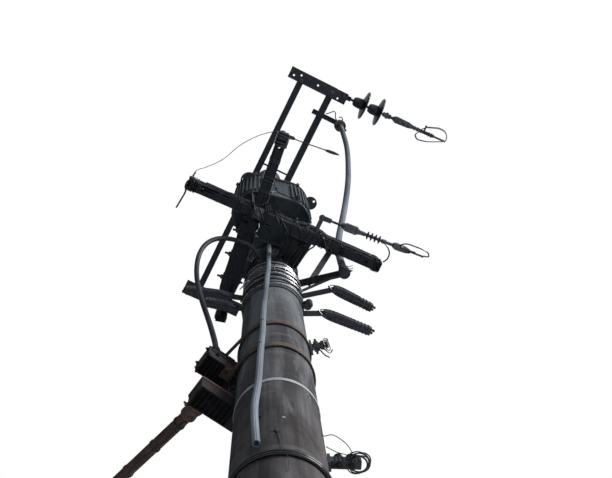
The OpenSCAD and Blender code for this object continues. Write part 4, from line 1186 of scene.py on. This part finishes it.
low_fittings = Maker()
ring_rows = [(collar + rib, 0.0122, 0.0013, 20) for collar in (0.2383, 0.3703)
             for rib in (0.003, 0.0085, 0.014, 0.0195)]
ring_rows += [(x, 0.0085, 0.0016, 16) for x in (0.405, 0.412, 0.419, 0.426)]
for x, radius, thick, count in ring_rows:
    low_fittings.ring(on_low(x), low_side * radius, up * radius, thick, count)
for x in (0.150, 0.178, 0.206):
    low_fittings.disc(on_low(x, 0, 0.0155), up, 0.0085, 0.0022, 16)
    low_fittings.nut(on_low(x, 0, 0.0175), up, 0.014, 0.006, 9)
    low_fittings.turned(on_low(x, 0, -0.0155), down, [(0.0075, 0), (0.0070, 0.003), (0.0030, 0.0045)], 16)
for x in (0.462, 0.492, 0.522):
    low_fittings.nut(on_low(x, 0, -0.0146), down, 0.014, 0.006, 9)
    low_fittings.nut(on_low(x, 0, 0.0146), up, 0.014, 0.006, 3)
for side in (-0.0215, 0.0215):
    low_fittings.block(on_low(0.1790, side), (0.004, 0.020, 0.070), low_axis)
low_fittings.done("low_string_fittings", alloy_skin, "clamp_alloy", "low_string")

low_pin_head = Maker()
low_pin_head.turned(on_low(0, 0, 0.0195), up, [(0.0105, 0), (0.0105, 0.004), (0.008, 0.006)], 18)
low_pin_head.disc(on_low(0, 0, -0.0145), down, 0.011, 0.002, 18)
split_pin(low_pin_head, on_low, -0.0180, (0.009, -0.008, -0.013, -0.017), 0.003, 0.0012)
low_pin_head.done("low_pin_head", string_skin, "string_steel", "low_string")

front_tail = [(0.352, 0.004, -0.012), (0.366, -0.002, -0.030), (0.384, 0.002, -0.045), (0.402, 0.013, -0.056),
              (0.423, 0.038, -0.060), (0.426, 0.073, -0.060), (0.411, 0.101, -0.058)]
end_tail = [(0.628, -0.004, 0), (0.655, -0.012, -0.006), (0.640, -0.034, -0.020),
            (0.595, -0.045, -0.038), (0.545, -0.047, -0.046), (0.500, -0.044, -0.044),
            (0.474, -0.026, -0.034), (0.480, -0.012, -0.022), (0.530, -0.008, -0.019),
            (0.572, -0.010, -0.016)]
low_tails = Maker()
for tail, radius in ((front_tail, 0.0042), (end_tail, 0.0040)):
    low_tails.wire(eased([on_low(*p) for p in tail], 5), radius, 8)
low_tails.done("low_string_tails", black_wire, "wrap_wire", "low_string")

# The transformer
# A rolled oval tank in grey paint, with upright cooling fins round its ends and a flanged lid pulled
# down by small clamps. It hangs on two bands behind and carries three high and four low bushings.
tank_middle = Vector((-0.136, -0.284, 6.4503))
tank_turn = -10.7
tank_long, tank_deep, tank_tall = 0.450, 0.286, 0.500
tank_corner = 0.135
tank_front = -tank_deep / 2
lid_top = tank_tall + 0.0083
on_tank = measured_from(tank_middle, tank_turn)
tank_way, tank_back = heading(tank_turn), heading(tank_turn + 90)


def round_tank(grow, rise, steps=14):
    """The tank's outline, grown outwards, as points at one height with the direction each faces."""
    outline = []
    for quarter, (sx, sy) in enumerate(((1, 1), (-1, 1), (-1, -1), (1, -1))):
        middle = on_tank(sx * (tank_long / 2 - tank_corner), sy * (tank_deep / 2 - tank_corner), rise)
        for k in range(steps + 1):
            out = heading(tank_turn + 90 * (quarter + k / steps))
            outline.append((middle + out * (tank_corner + grow), out))
    return outline


paint = Finish("tank_paint")
fade = paint.noise(6, 6, 0.6)
runs = paint.noise(34, 5, 0.65, (1, 1, 0.07))
specks = paint.noise(150, 4, 0.7)
chips = paint.noise(38, 7, 0.72)
facing = wired(paint.tree, "ShaderNodeNewGeometry", {}).outputs["True Normal"]
skyward = wired(paint.tree, "ShaderNodeSeparateXYZ", {0: facing}).outputs["Z"]
paint.ground((44, 52, 58), (74, 83, 89), fade, 0.35, 0.66)
paint.lay((26, 30, 34), runs, 0.5, 0.7, 0.55)
paint.lay((96, 104, 110), specks, 0.60, 0.75, 0.4)
dust = paint.times(paint.between(skyward, 0.3, 0.95), paint.between(fade, 0.3, 0.6, 0.3, 0.8))
paint.lay((110, 112, 112), dust)
paint.rub((112, 120, 126), 0.45)
paint.lay((78, 50, 36), chips, 0.68, 0.71)
paint.dig(paint.noise(9, 2, 0.5), 0.004, 0.3)
paint.dig(specks, 0.0008, 0.5)
paint.dig(paint.between(chips, 0.68, 0.71, 1, 0), 0.0010, 0.8)
tank_skin = paint.done(paint.between(runs, 0.4, 0.7, 0.42, 0.7), shine=0.4)
cover(["tank", "tank_lid", "tank_fins", "tank_lugs"], tank_skin)
cover(["tank_bands"], bracket_skin)

seams = Maker()
for grow, rise, radius in ((0.0004, 0.0015, 0.0030), (-0.0065, 0.0115, 0.0028),
                           (0.0005, tank_tall - 0.0105, 0.0030), (0.0118, tank_tall + 0.0045, 0.0036)):
    seams.wire([at for at, out in round_tank(grow, rise)], radius, closed=True)
seams.wire([on_tank(-0.088, tank_front - 0.0002, 0.004 + (tank_tall - 0.018) * k / 60 + 0.0006 * (k % 2))
            for k in range(61)], 0.0024)
seams.done("tank_seams", tank_skin, "tank_paint")

lid_bolt = 0.008
lid_clamps = Maker()
for at, out in round_tank(0.0162, lid_top, 5)[1::3]:
    roll = math.degrees(math.atan2(out.y, out.x))
    for inwards, rise, size in ((0.008, 0.0035, (0.034, 0.018, 0.006)),
                                (-0.0045, -0.010, (0.005, 0.018, 0.033)),
                                (0, -0.0245, (0.014, 0.018, 0.005))):
        lid_clamps.block(at - out * inwards + up * rise, size, up, roll)
    lid_clamps.bolt(at - out * 0.010 + up * 0.0065, up, lid_bolt, lid_bolt, False, roll)
lid_clamps.done("tank_lid_clamps", bolt_skin, "tank_paint")

# The transformer's small fittings
# A drain valve, an earth stud and four stops are welded to the front wall, a plug closes the lid, and
# rolled rims stiffen the lifting lugs. An earth wire is clipped down the front.
front_wall = -tank_back
tank_fittings = Maker()
valve = on_tank(0.118, tank_front, 0.034)
tank_fittings.turned(valve, front_wall, [(0.019, 0), (0.019, 0.006), (0.013, 0.007), (0.013, 0.018)])
tank_fittings.nut(valve + front_wall * 0.018, front_wall, 0.030, 0.012, 13)
tank_fittings.nut(valve + front_wall * 0.030, front_wall, 0.018, 0.008, 4)
earth_stud = on_tank(-0.052, tank_front, 0.057)
tank_fittings.block(earth_stud + front_wall * 0.004, (0.030, 0.030, 0.008), front_wall)
tank_fittings.bolt(earth_stud + front_wall * 0.008, front_wall, 0.010, 0.012, roll=9)
for x in (-0.104, 0.126):
    for z in (0.100, 0.138):
        tank_fittings.block(on_tank(x, tank_front - 0.003, z), (0.016, 0.016, 0.006), front_wall)
oil_plug = on_tank(0, 0.035, lid_top)
tank_fittings.turned(oil_plug, up, [(0.030, 0), (0.030, 0.005), (0.022, 0.007), (0.022, 0.020)], 24)
tank_fittings.nut(oil_plug + up * 0.020, up, 0.034, 0.010, 6)
for x, y in ((-0.209, -0.102), (0.262, -0.082)):
    for face in (0.4641, 0.4539):
        tank_fittings.ring(on_tank(x, y, face), tank_way * 0.0115, tank_back * 0.0115, 0.0024)
pole_along = -tank_middle.dot(tank_way)
for z in (0.120, 0.400):
    for side in (-1, 1):
        lug = on_tank(pole_along + side * 0.055, tank_deep / 2 + 0.020, z)
        tank_fittings.bolt(lug, tank_way * side, 0.012, 0.010)
tank_fittings.done("tank_fittings", tank_skin, "tank_paint")

wire_radius = 0.0024
wire_y = tank_front - wire_radius
wall_run = [(-0.030, 0.498), (-0.024, 0.430), (-0.016, 0.340), (-0.010, 0.250), (-0.003, 0.170),
            (-0.006, 0.128), (-0.030, 0.090), (-0.052, 0.070)]
valve_run = [(-0.005, 0.132), (0.020, 0.108), (0.060, 0.076), (0.104, 0.052), (0.118, 0.050)]
earth_wire = Maker()
for run in (wall_run, valve_run):
    earth_wire.wire(eased([on_tank(x, wire_y, z) for x, z in run]), wire_radius)
for x, z in ((-0.020, 0.385), (-0.008, 0.230), (0.040, 0.092)):
    earth_wire.block(on_tank(x, wire_y - 0.001, z), (0.014, 0.006, 0.007), front_wall)
earth_wire.done("tank_earth_wire", black_wire, "wrap_wire")

# The bushings' tops
# Each brown bushing is held down by a bolted ring or a gasket and has rounded glaze lips on its
# sheds; on top a nut, a flat terminal block and a second nut clamp the lead.
cover(["high_bushings", "low_bushings"], brown_glaze)
high_places = (-0.140, 0, 0.140)
low_places = (-0.120, -0.040, 0.040, 0.120)
high_y, low_y = -0.020, 0.084
high_tall, low_tall = 0.190, 0.062
bushing_seat = lid_top + 0.0006
terminals = Maker()
glaze_lips = Maker()
for x in high_places:
    for k in range(4):
        spoke = heading(tank_turn + 45 + 90 * k)
        foot = on_tank(x, high_y, bushing_seat) + spoke * 0.042
        terminals.block(foot + up * 0.004, (0.020, 0.012, 0.008), up, tank_turn + 45 + 90 * k)
        terminals.bolt(foot + up * 0.008, up, 0.008, 0.006, False)
    top = on_tank(x, high_y, bushing_seat + high_tall)
    terminals.disc(top, up, 0.017, 0.004)
    terminals.nut(top + up * 0.004, up, 0.026, 0.010, 10)
    terminals.block(top + up * 0.020, (0.040, 0.020, 0.010), up, 30)
    terminals.nut(top + up * 0.026, up, 0.024, 0.008, 20)
    for radius, rise in ((0.0488, 0.031), (0.0448, 0.081), (0.0408, 0.131)):
        glaze_lips.hoop(on_tank(x, high_y, bushing_seat + rise), radius, 0.0056, 40, 8)
for x in low_places:
    terminals.hoop(on_tank(x, low_y, bushing_seat + 0.002), 0.024, 0.0030)
    top = on_tank(x, low_y, bushing_seat + low_tall)
    terminals.nut(top, up, 0.022, 0.007, 7)
    terminals.block(top + up * 0.0105, (0.030, 0.016, 0.006), up, 50)
    terminals.nut(top + up * 0.0135, up, 0.020, 0.006, 17)
    glaze_lips.hoop(on_tank(x, low_y, bushing_seat + 0.024), 0.0265, 0.0062, 30, 8)
terminals.done("bushing_terminals", alloy_skin, "clamp_alloy")
glaze_lips.done("bushing_glaze_lips", brown_glaze, "brown_porcelain")

# The locks of the hanging bands
# Behind the pole each of the transformer's two bands ends in ears of flat steel, drawn together by a
# long bolt with a nut at both ends.
hanging_turn = 64
hanging_bolt = 0.012
hanging_locks = Maker()
for z in (6.570, 6.850):
    band_lock(hanging_locks, z, hanging_turn, 0.044, hanging_bolt)
hanging_locks.done("hanging_band_locks", bracket_skin, "bracket_steel")

# The boxes on the left
# Two black cast boxes with ribbed undersides stand out from the pole on a length of channel. The upper
# one takes the loop cable in a gland; rust has come up on the lower one's lip and the hook between.
box_turn = 190
box_out, box_side = heading(box_turn), heading(box_turn + 90)
on_box = measured_from(Vector((0, 0, 0)), box_turn)


def cast_black(name, rust):
    """Black cast iron or paint gone matt, with rust where rain stands."""
    skin = Finish(name)
    blotch = skin.noise(16, 6, 0.65)
    rusty = skin.noise(24, 7, 0.7)
    skin.ground((12, 12, 15), (34, 35, 40), blotch, 0.35, 0.7)
    skin.lay((74, 50, 42), rusty, 0.70 - 0.22 * rust, 0.82 - 0.22 * rust, 0.85)
    skin.rub((78, 70, 70), 0.5)
    skin.dig(skin.noise(120, 4, 0.7), 0.0010, 0.6)
    skin.dig(rusty, 0.002, 0.35)
    return skin.done(skin.between(blotch, 0.3, 0.7, 0.8, 0.6), shine=0.3)


box_skin = cast_black("box_black", 0.2)
cover(["upper_box"], box_skin)
cover(["lamp_bracket"], cast_black("bracket_black", 0.7))
cover(["box_backplate", "loop_cleat"], bracket_skin)
box_low, box_high = 4.912, 4.987
box_left, box_right = -0.173, -0.077
box_trim = Maker()
for side, way in ((box_left, -1), (box_right, 1)):
    box_trim.block(on_box(0.205, side + way * 0.0015, box_high - 0.007), (0.150, 0.004, 0.012), up, box_turn)
    for out in (0.160, 0.245):
        box_trim.bolt(on_box(out, side + way * 0.0030, box_high - 0.030), box_side * way, 0.008, 0.005)
    for z in (4.930, 4.986):
        box_trim.bolt(on_box(0.288, side - way * 0.010, z), box_out, 0.007, 0.004)
box_trim.block(on_box(0.205, -0.125, 5.0595), (0.112, 0.074, 0.004), up, box_turn)
for out in (0.162, 0.248):
    for side in (-0.153, -0.097):
        box_trim.bolt(on_box(out, side, 5.0610), up, 0.007, 0.003)
gland = Vector((-0.254, 0.076, 5.0870))
gland_radius, gland_rib, gland_step = 0.0208, 0.0013, 0.0042
box_trim.nut(gland, up, 0.052, 0.014, 8)
for k in range(5):
    box_trim.hoop(gland + up * (gland_step * k - 0.022), gland_radius, gland_rib)
box_trim.turned(gland + up * 0.014, up, [(0.0215, 0), (0.0215, 0.006), (0.0190, 0.018), (0.0150, 0.0215)], 24)
box_trim.done("box_trim", box_skin, "black_box")

iron_high = 4.705
iron_left, iron_right = -0.187, -0.091
iron_middle = (iron_left + iron_right) / 2
lip_rust = rust_skin("lip_rust", (112, 90, 82), (58, 44, 40))
lips = Maker()
for out, side, z, size in ((0.190, iron_left - 0.0015, iron_high - 0.004, (0.196, 0.0045, 0.016)),
                           (0.190, iron_right + 0.0015, iron_high - 0.004, (0.196, 0.0045, 0.016)),
                           (0.2895, iron_middle, iron_high - 0.006, (0.0045, 0.098, 0.020)),
                           (0.218, iron_middle, iron_high + 0.0025, (0.136, 0.092, 0.005)),
                           (0.172, box_right - 0.028, box_low - 0.004, (0.056, 0.050, 0.006))):
    lips.block(on_box(out, side, z), size, up, box_turn)
for out in (0.180, 0.262):
    for side in (iron_left + 0.016, iron_right - 0.016):
        lips.bolt(on_box(out, side, iron_high + 0.005), up, 0.011, 0.012, True, 12)
hook_bend = [on_box(out, box_right + 0.0005, z) for out, z in
             ((0.120, 4.880), (0.126, 4.898), (0.140, 4.910), (0.170, 4.9108), (0.196, 4.9108))]
lips.strap(hook_bend, [box_side * 0.2 + down] * len(hook_bend), 0.030, 0.005)
for out in (0.156, 0.190):
    lips.bolt(on_box(out, box_right - 0.028, box_low - 0.007), down, 0.010, 0.010)
lips.done("rusty_box_lips", lip_rust, "black_iron")

channel_out, channel_bolt = 0.1225, 0.012
channel_bolts = Maker()
for z in (4.740, 4.800, 4.860, 5.030, 5.090):
    channel_bolts.bolt(on_box(channel_out, -0.173, z), -box_side, channel_bolt, 0.010, True, 8)
    channel_bolts.bolt(on_box(channel_out, -0.117, z), box_side, channel_bolt, 0.008, True, 8)
channel_bolts.done("channel_bolts", bolt_skin, "bracket_steel")

# The pipe arm
# A rusty steel pipe slopes up out of a flanged sleeve on the lower box. The photograph cuts it off, so
# it ends open here, with two cut cores in its mouth and a thin black lead tied along its underside.
pipe_skin = rust_skin("pipe_rust", (132, 108, 102), (76, 62, 60), (134, 76, 54))
cover(["lamp_pipe"], pipe_skin)
pipe_foot = on_box(0.245, iron_left, 4.659)
pipe_rise = math.radians(23.6)
pipe_way = heading(102.3) * math.cos(pipe_rise) + up * math.sin(pipe_rise)
pipe_side = pipe_way.cross(up).normalized()
pipe_up = pipe_side.cross(pipe_way)
pipe_long = 0.820
pipe_end = pipe_foot + pipe_way * pipe_long
sleeve_lip = pipe_foot + pipe_way * 0.058


def from_pipe(turn):
    """The direction out of the pipe at a turn round it, in degrees."""
    a = math.radians(turn)
    return pipe_side * math.cos(a) + pipe_up * math.sin(a)


sleeve = Maker()
sleeve.turned(pipe_foot + pipe_way * 0.0095, pipe_way,
              [(0.0316, 0), (0.0345, 0.002), (0.0345, 0.010), (0.0316, 0.012)], 36)
sleeve.turned(sleeve_lip, pipe_way,
              [(0.0316, 0), (0.0338, 0.002), (0.0338, 0.011), (0.0300, 0.0135), (0.0256, 0.0165)], 36)
for turn in (40, 160, 280):
    out = from_pipe(turn)
    sleeve.bolt(pipe_foot + pipe_way * 0.038 + out * 0.0312, out, 0.010, 0.010, False, 6)
weld = []
for turn in range(0, 360, 9):
    along = 0.0045 + 0.010 * abs(math.cos(math.radians(turn)))
    weld.append(pipe_foot + pipe_way * along + from_pipe(turn) * 0.0325)
sleeve.wire(weld, 0.0032, 6, True)
sleeve.done("lamp_sleeve_trim", pipe_skin, "rusty_pipe")

pipe_mouth = Maker()
pipe_mouth.ring(pipe_end, pipe_side * 0.0235, pipe_up * 0.0235, 0.0017, 36)
for shift in (-0.007, 0.007):
    start = pipe_end - pipe_way * 0.010 + pipe_side * shift - pipe_up * 0.006
    bent = start + pipe_way * 0.018 + pipe_side * shift * 0.4
    cut = start + pipe_way * 0.030 + pipe_side * shift * 1.2 - pipe_up * 0.004
    pipe_mouth.wire(eased([start, bent, cut], 5), 0.0038, 8)
pipe_mouth.done("lamp_pipe_mouth", pipe_skin, "rusty_pipe")
tie_reach, pipe_tie = 0.0265, 0.0019
pipe_ties = Maker()
for place in (0.135, 0.330, 0.560):
    for along in (place, place + 0.0045):
        pipe_ties.ring(pipe_foot + pipe_way * along, pipe_side * tie_reach + pipe_way * 0.003,
                       pipe_up * tie_reach, pipe_tie, 30)
lead_bends = ((0.075, 0.004), (0.135, 0.002), (0.230, 0.006), (0.330, 0.001), (0.450, -0.004), (0.560, 0.001),
              (0.690, 0.005), (0.806, 0.002))
under_pipe = pipe_foot - pipe_up * 0.0295
lead_route = [under_pipe + pipe_way * along + pipe_side * side for along, side in lead_bends]
pipe_lead = 0.0034
pipe_ties.wire(eased(lead_route, 5), pipe_lead, 8)
pipe_ties.done("lamp_pipe_lead", black_wire, "wrap_wire")

# The service clamps
# Four wedge clamps of dark plastic hang on short straps from two bands below the crossarms. Each has a
# ribbed body, a steel wire bail and short tails of cable; two small spools sit beside the right ones.
clamp_skin = plain_skin("clamp_skin", (70, 74, 84), (26, 30, 37), 0.5, scale=40)
cover(["service_clamps"], clamp_skin)
cover(["service_bands"], bracket_skin)
band_heights = (5.880, 5.700)
clamps = Maker()
bails = Maker()
bail_wire, tail_radius = 0.0024, 0.0056
tails = Maker()
for strap_turn, reach, z, body_turn, body_long in (
        (-38, 0.338, band_heights[0], 2, 0.225), (-26, 0.268, band_heights[1], -3, 0.255),
        (163, 0.245, band_heights[0], 163, 0.215), (165, 0.215, band_heights[1], 165, 0.135)):
    in_clamp = measured_from(heading(strap_turn) * reach + up * z, body_turn)
    ribs = int(body_long / 0.019)
    for k in range(1, ribs):
        along = body_long * k / ribs
        wide = 0.0235 if along > body_long * 0.15 else 0.018
        clamps.block(in_clamp(along, 0, -0.0195), (0.005, wide * 1.7, 0.006), up, body_turn, 0.0008)
        for side in (-1, 1):
            clamps.block(in_clamp(along, side * wide * 0.93), (0.005, 0.006, 0.030), up, body_turn, 0.0008)
    for along, rise, long, wide, high in (
            (0.55, -0.0225, 0.72, 0.009, 0.009), (0.60, 0.0220, 0.62, 0.014, 0.010)):
        middle = in_clamp(body_long * along, 0, rise)
        clamps.block(middle, (body_long * long, wide, high), up, body_turn, 0.001)
    clamps.disc(in_clamp(0, 0, -0.024), up, 0.011, 0.048, 16)
    bail_leg = body_long * 0.62
    bail = [in_clamp(along, across) for along, across in
            ((bail_leg, 0.0255), (0.03, 0.0265), (-0.022, 0.014), (-0.032, 0),
             (-0.022, -0.014), (0.03, -0.0265), (bail_leg, -0.0255))]
    bails.wire(eased(bail), bail_wire, 7)
    root = on_pole(strap_turn, z, 0.0240)
    bails.bolt(root + up * 0.004, up, 0.008, 0.006)
    bails.bolt(root + down * 0.004, down, 0.008, 0.006)
    bails.turned(in_clamp(0, 0, 0.024), up, [(0.0075, 0), (0.0075, 0.004), (0.005, 0.006)], 14)
    for across, length in ((-0.008, 0.022), (0.007, 0.016)):
        sleeve_rings = [(0.0062, 0), (0.0062, length), (0.0070, length + 0.002),
                        (0.0066, length + 0.009), (0.003, length + 0.011)]
        tails.turned(in_clamp(body_long - 0.012, across), heading(body_turn), sleeve_rings, 12)
    back_tail = [in_clamp(0.030, 0.014, -0.018), in_clamp(0.002, 0.012, -0.023),
                 in_clamp(-0.024, 0.006, -0.020), in_clamp(-0.040, -0.003, -0.008)]
    tails.wire(eased(back_tail, 5), tail_radius, 8)
clamps.done("clamp_ribs", clamp_skin, "clamp_plastic")
bails.done("clamp_bails", dull_wire, "clamp_alloy")
tails.done("clamp_tails", black_wire, "wrap_wire")

spool_rings = [(0.016, 0), (0.0195, 0.004), (0.0195, 0.012), (0.0120, 0.020),
               (0.0120, 0.028), (0.0195, 0.036), (0.0195, 0.044), (0.016, 0.048)]
spools = Maker()
spool_steel = Maker()
for turn, z in zip((-20, -42), band_heights):
    out = heading(turn)
    seat = on_pole(turn, z, 0.0060)
    for rise in (up * -0.026, up * 0.026):
        spool_steel.strap([seat + rise * 0.7, seat + out * 0.012 + rise, seat + out * 0.046 + rise],
                          [rise] * 3, 0.022, 0.003)
    pin_foot = seat + out * 0.034 + down * 0.034
    spool_steel.disc(pin_foot, up, 0.0045, 0.068, 12)
    spool_steel.disc(pin_foot, up, 0.008, 0.004, 14)
    spool_steel.nut(pin_foot + up * 0.063, up, 0.016, 0.007)
    spools.turned(pin_foot + up * 0.010, up, spool_rings, 24)
spools.done("band_spools", clamp_skin, "clamp_plastic")
spool_steel.done("band_spool_steel", bracket_skin, "bracket_steel")

# The knob on the pole's right edge
# A small clamp sits on the upper rusty band there, with a bolt through it and short loops of stiff
# wire that were twisted round it.
knob_turn = -38
at_knob = measured_from(on_pole(knob_turn, 5.151, 0.0065), knob_turn)
knob_way, knob_side = heading(knob_turn), heading(knob_turn + 90)
knob = Maker()
knob.block(at_knob(0.004), (0.010, 0.052, 0.060), up, knob_turn)
knob.block(at_knob(0.026), (0.040, 0.022, 0.028), up, knob_turn)
for side in (-1, 1):
    knob.bolt(at_knob(0.028, side * 0.011), knob_side * side, 0.012, 0.012)
    knob.bolt(at_knob(0.009, 0, side * 0.022), knob_way, 0.008, 0.006)
knob.turned(at_knob(0.046), knob_way, [(0.016, 0), (0.021, 0.006), (0.021, 0.014), (0.012, 0.020),
                                       (0.012, 0.026), (0.019, 0.032), (0.014, 0.038)])
knob.done("knob_clamp", string_skin, "string_steel")
knob_wires = Maker()
for out, tilt, radius, rise in (
        (0.068, 0.3, 0.020, 0), (0.072, -0.4, 0.024, 0.004), (0.076, 0.9, 0.028, -0.003)):
    knob_wires.ring(at_knob(out, 0, rise), knob_side * radius + knob_way * 0.012 * math.sin(tilt),
                    up * radius + knob_way * 0.012 * math.cos(tilt), 0.0020, 26)
for tail in (
        [(0.150, -0.117, 5.140), (0.163, -0.126, 5.100), (0.176, -0.138, 5.030), (0.188, -0.148, 4.998)],
        [(0.168, -0.132, 5.160), (0.184, -0.130, 5.130), (0.214, -0.124, 5.128), (0.229, -0.128, 5.172)]):
    knob_wires.wire(eased(tail, 5), 0.0030, 7)
knob_wires.done("knob_wires", black_wire, "wrap_wire")

# The drop bracket
# Low on the right a small bolted bracket holds a black clamp with two ribbed insulator knobs, a hank
# of covered wire tied beside it, and two thin wires that spring back up to the pole.
cover(["drop_bracket"], bracket_skin)
drop_turn = -23
drop_way, drop_side = heading(drop_turn), heading(drop_turn + 90)
drop_root = on_pole(-29, 4.18, 0.008)
at_drop = measured_from(drop_root, drop_turn)
hank_wire, hank_size = 0.0022, 0.034
drop = Maker()
for rise in (-0.020, 0.020):
    drop.bolt(at_drop(0.002, 0, -rise), drop_way, 0.008, 0.008)
for along in (0.030, 0.072):
    drop.turned(at_drop(along, 0, 0.0155), up, [(0.013, 0), (0.017, 0.004), (0.017, 0.009), (0.011, 0.013),
                                                (0.011, 0.017), (0.016, 0.021), (0.012, 0.027)])
    drop.disc(at_drop(along, 0, -0.0155), down, 0.012, 0.003, 18)
    drop.nut(at_drop(along, 0, -0.0185), down, 0.017, 0.008, 15)
for k in range(7):
    for side in (-0.0155, 0.0155):
        drop.block(at_drop(0.016 + 0.0135 * k, side), (0.0045, 0.004, 0.026), up, drop_turn, 0.0007)
drop.done("drop_clamp", box_skin, "black_box")
hank = Maker()
hank_dice = random.Random(4)
for k in range(6):
    tilt = hank_dice.uniform(-0.35, 0.35)
    size = hank_size + 0.003 * k
    middle = at_drop(0.098, -0.002, -0.012 + 0.003 * k)
    middle += Vector((hank_dice.uniform(-0.004, 0.004), hank_dice.uniform(-0.004, 0.004), 0))
    hank.ring(middle, drop_way * size * 0.85 + up * size * tilt * math.cos(tilt),
              drop_side * size * 0.85 + up * size * tilt * math.sin(tilt), hank_wire, 30)
hank.ring(at_drop(0.064, -0.002, -0.006), drop_way * 0.011, up * 0.024, hank_wire, 16)
for points in ([on_pole(-52, 4.262, 0.003), (0.111, -0.133, 4.250), (0.144, -0.145, 4.262),
                (0.203, -0.135, 4.252), (0.236, -0.112, 4.222), at_drop(0.088, 0, 0.018)],
               [on_pole(-40, 4.232, 0.003), at_drop(0.022, -0.024, 0.030), at_drop(0.055, -0.024, 0.012),
                at_drop(0.090, -0.019)]):
    hank.wire(eased(points), binding)
hank.done("drop_wire_hank", black_wire, "wrap_wire")
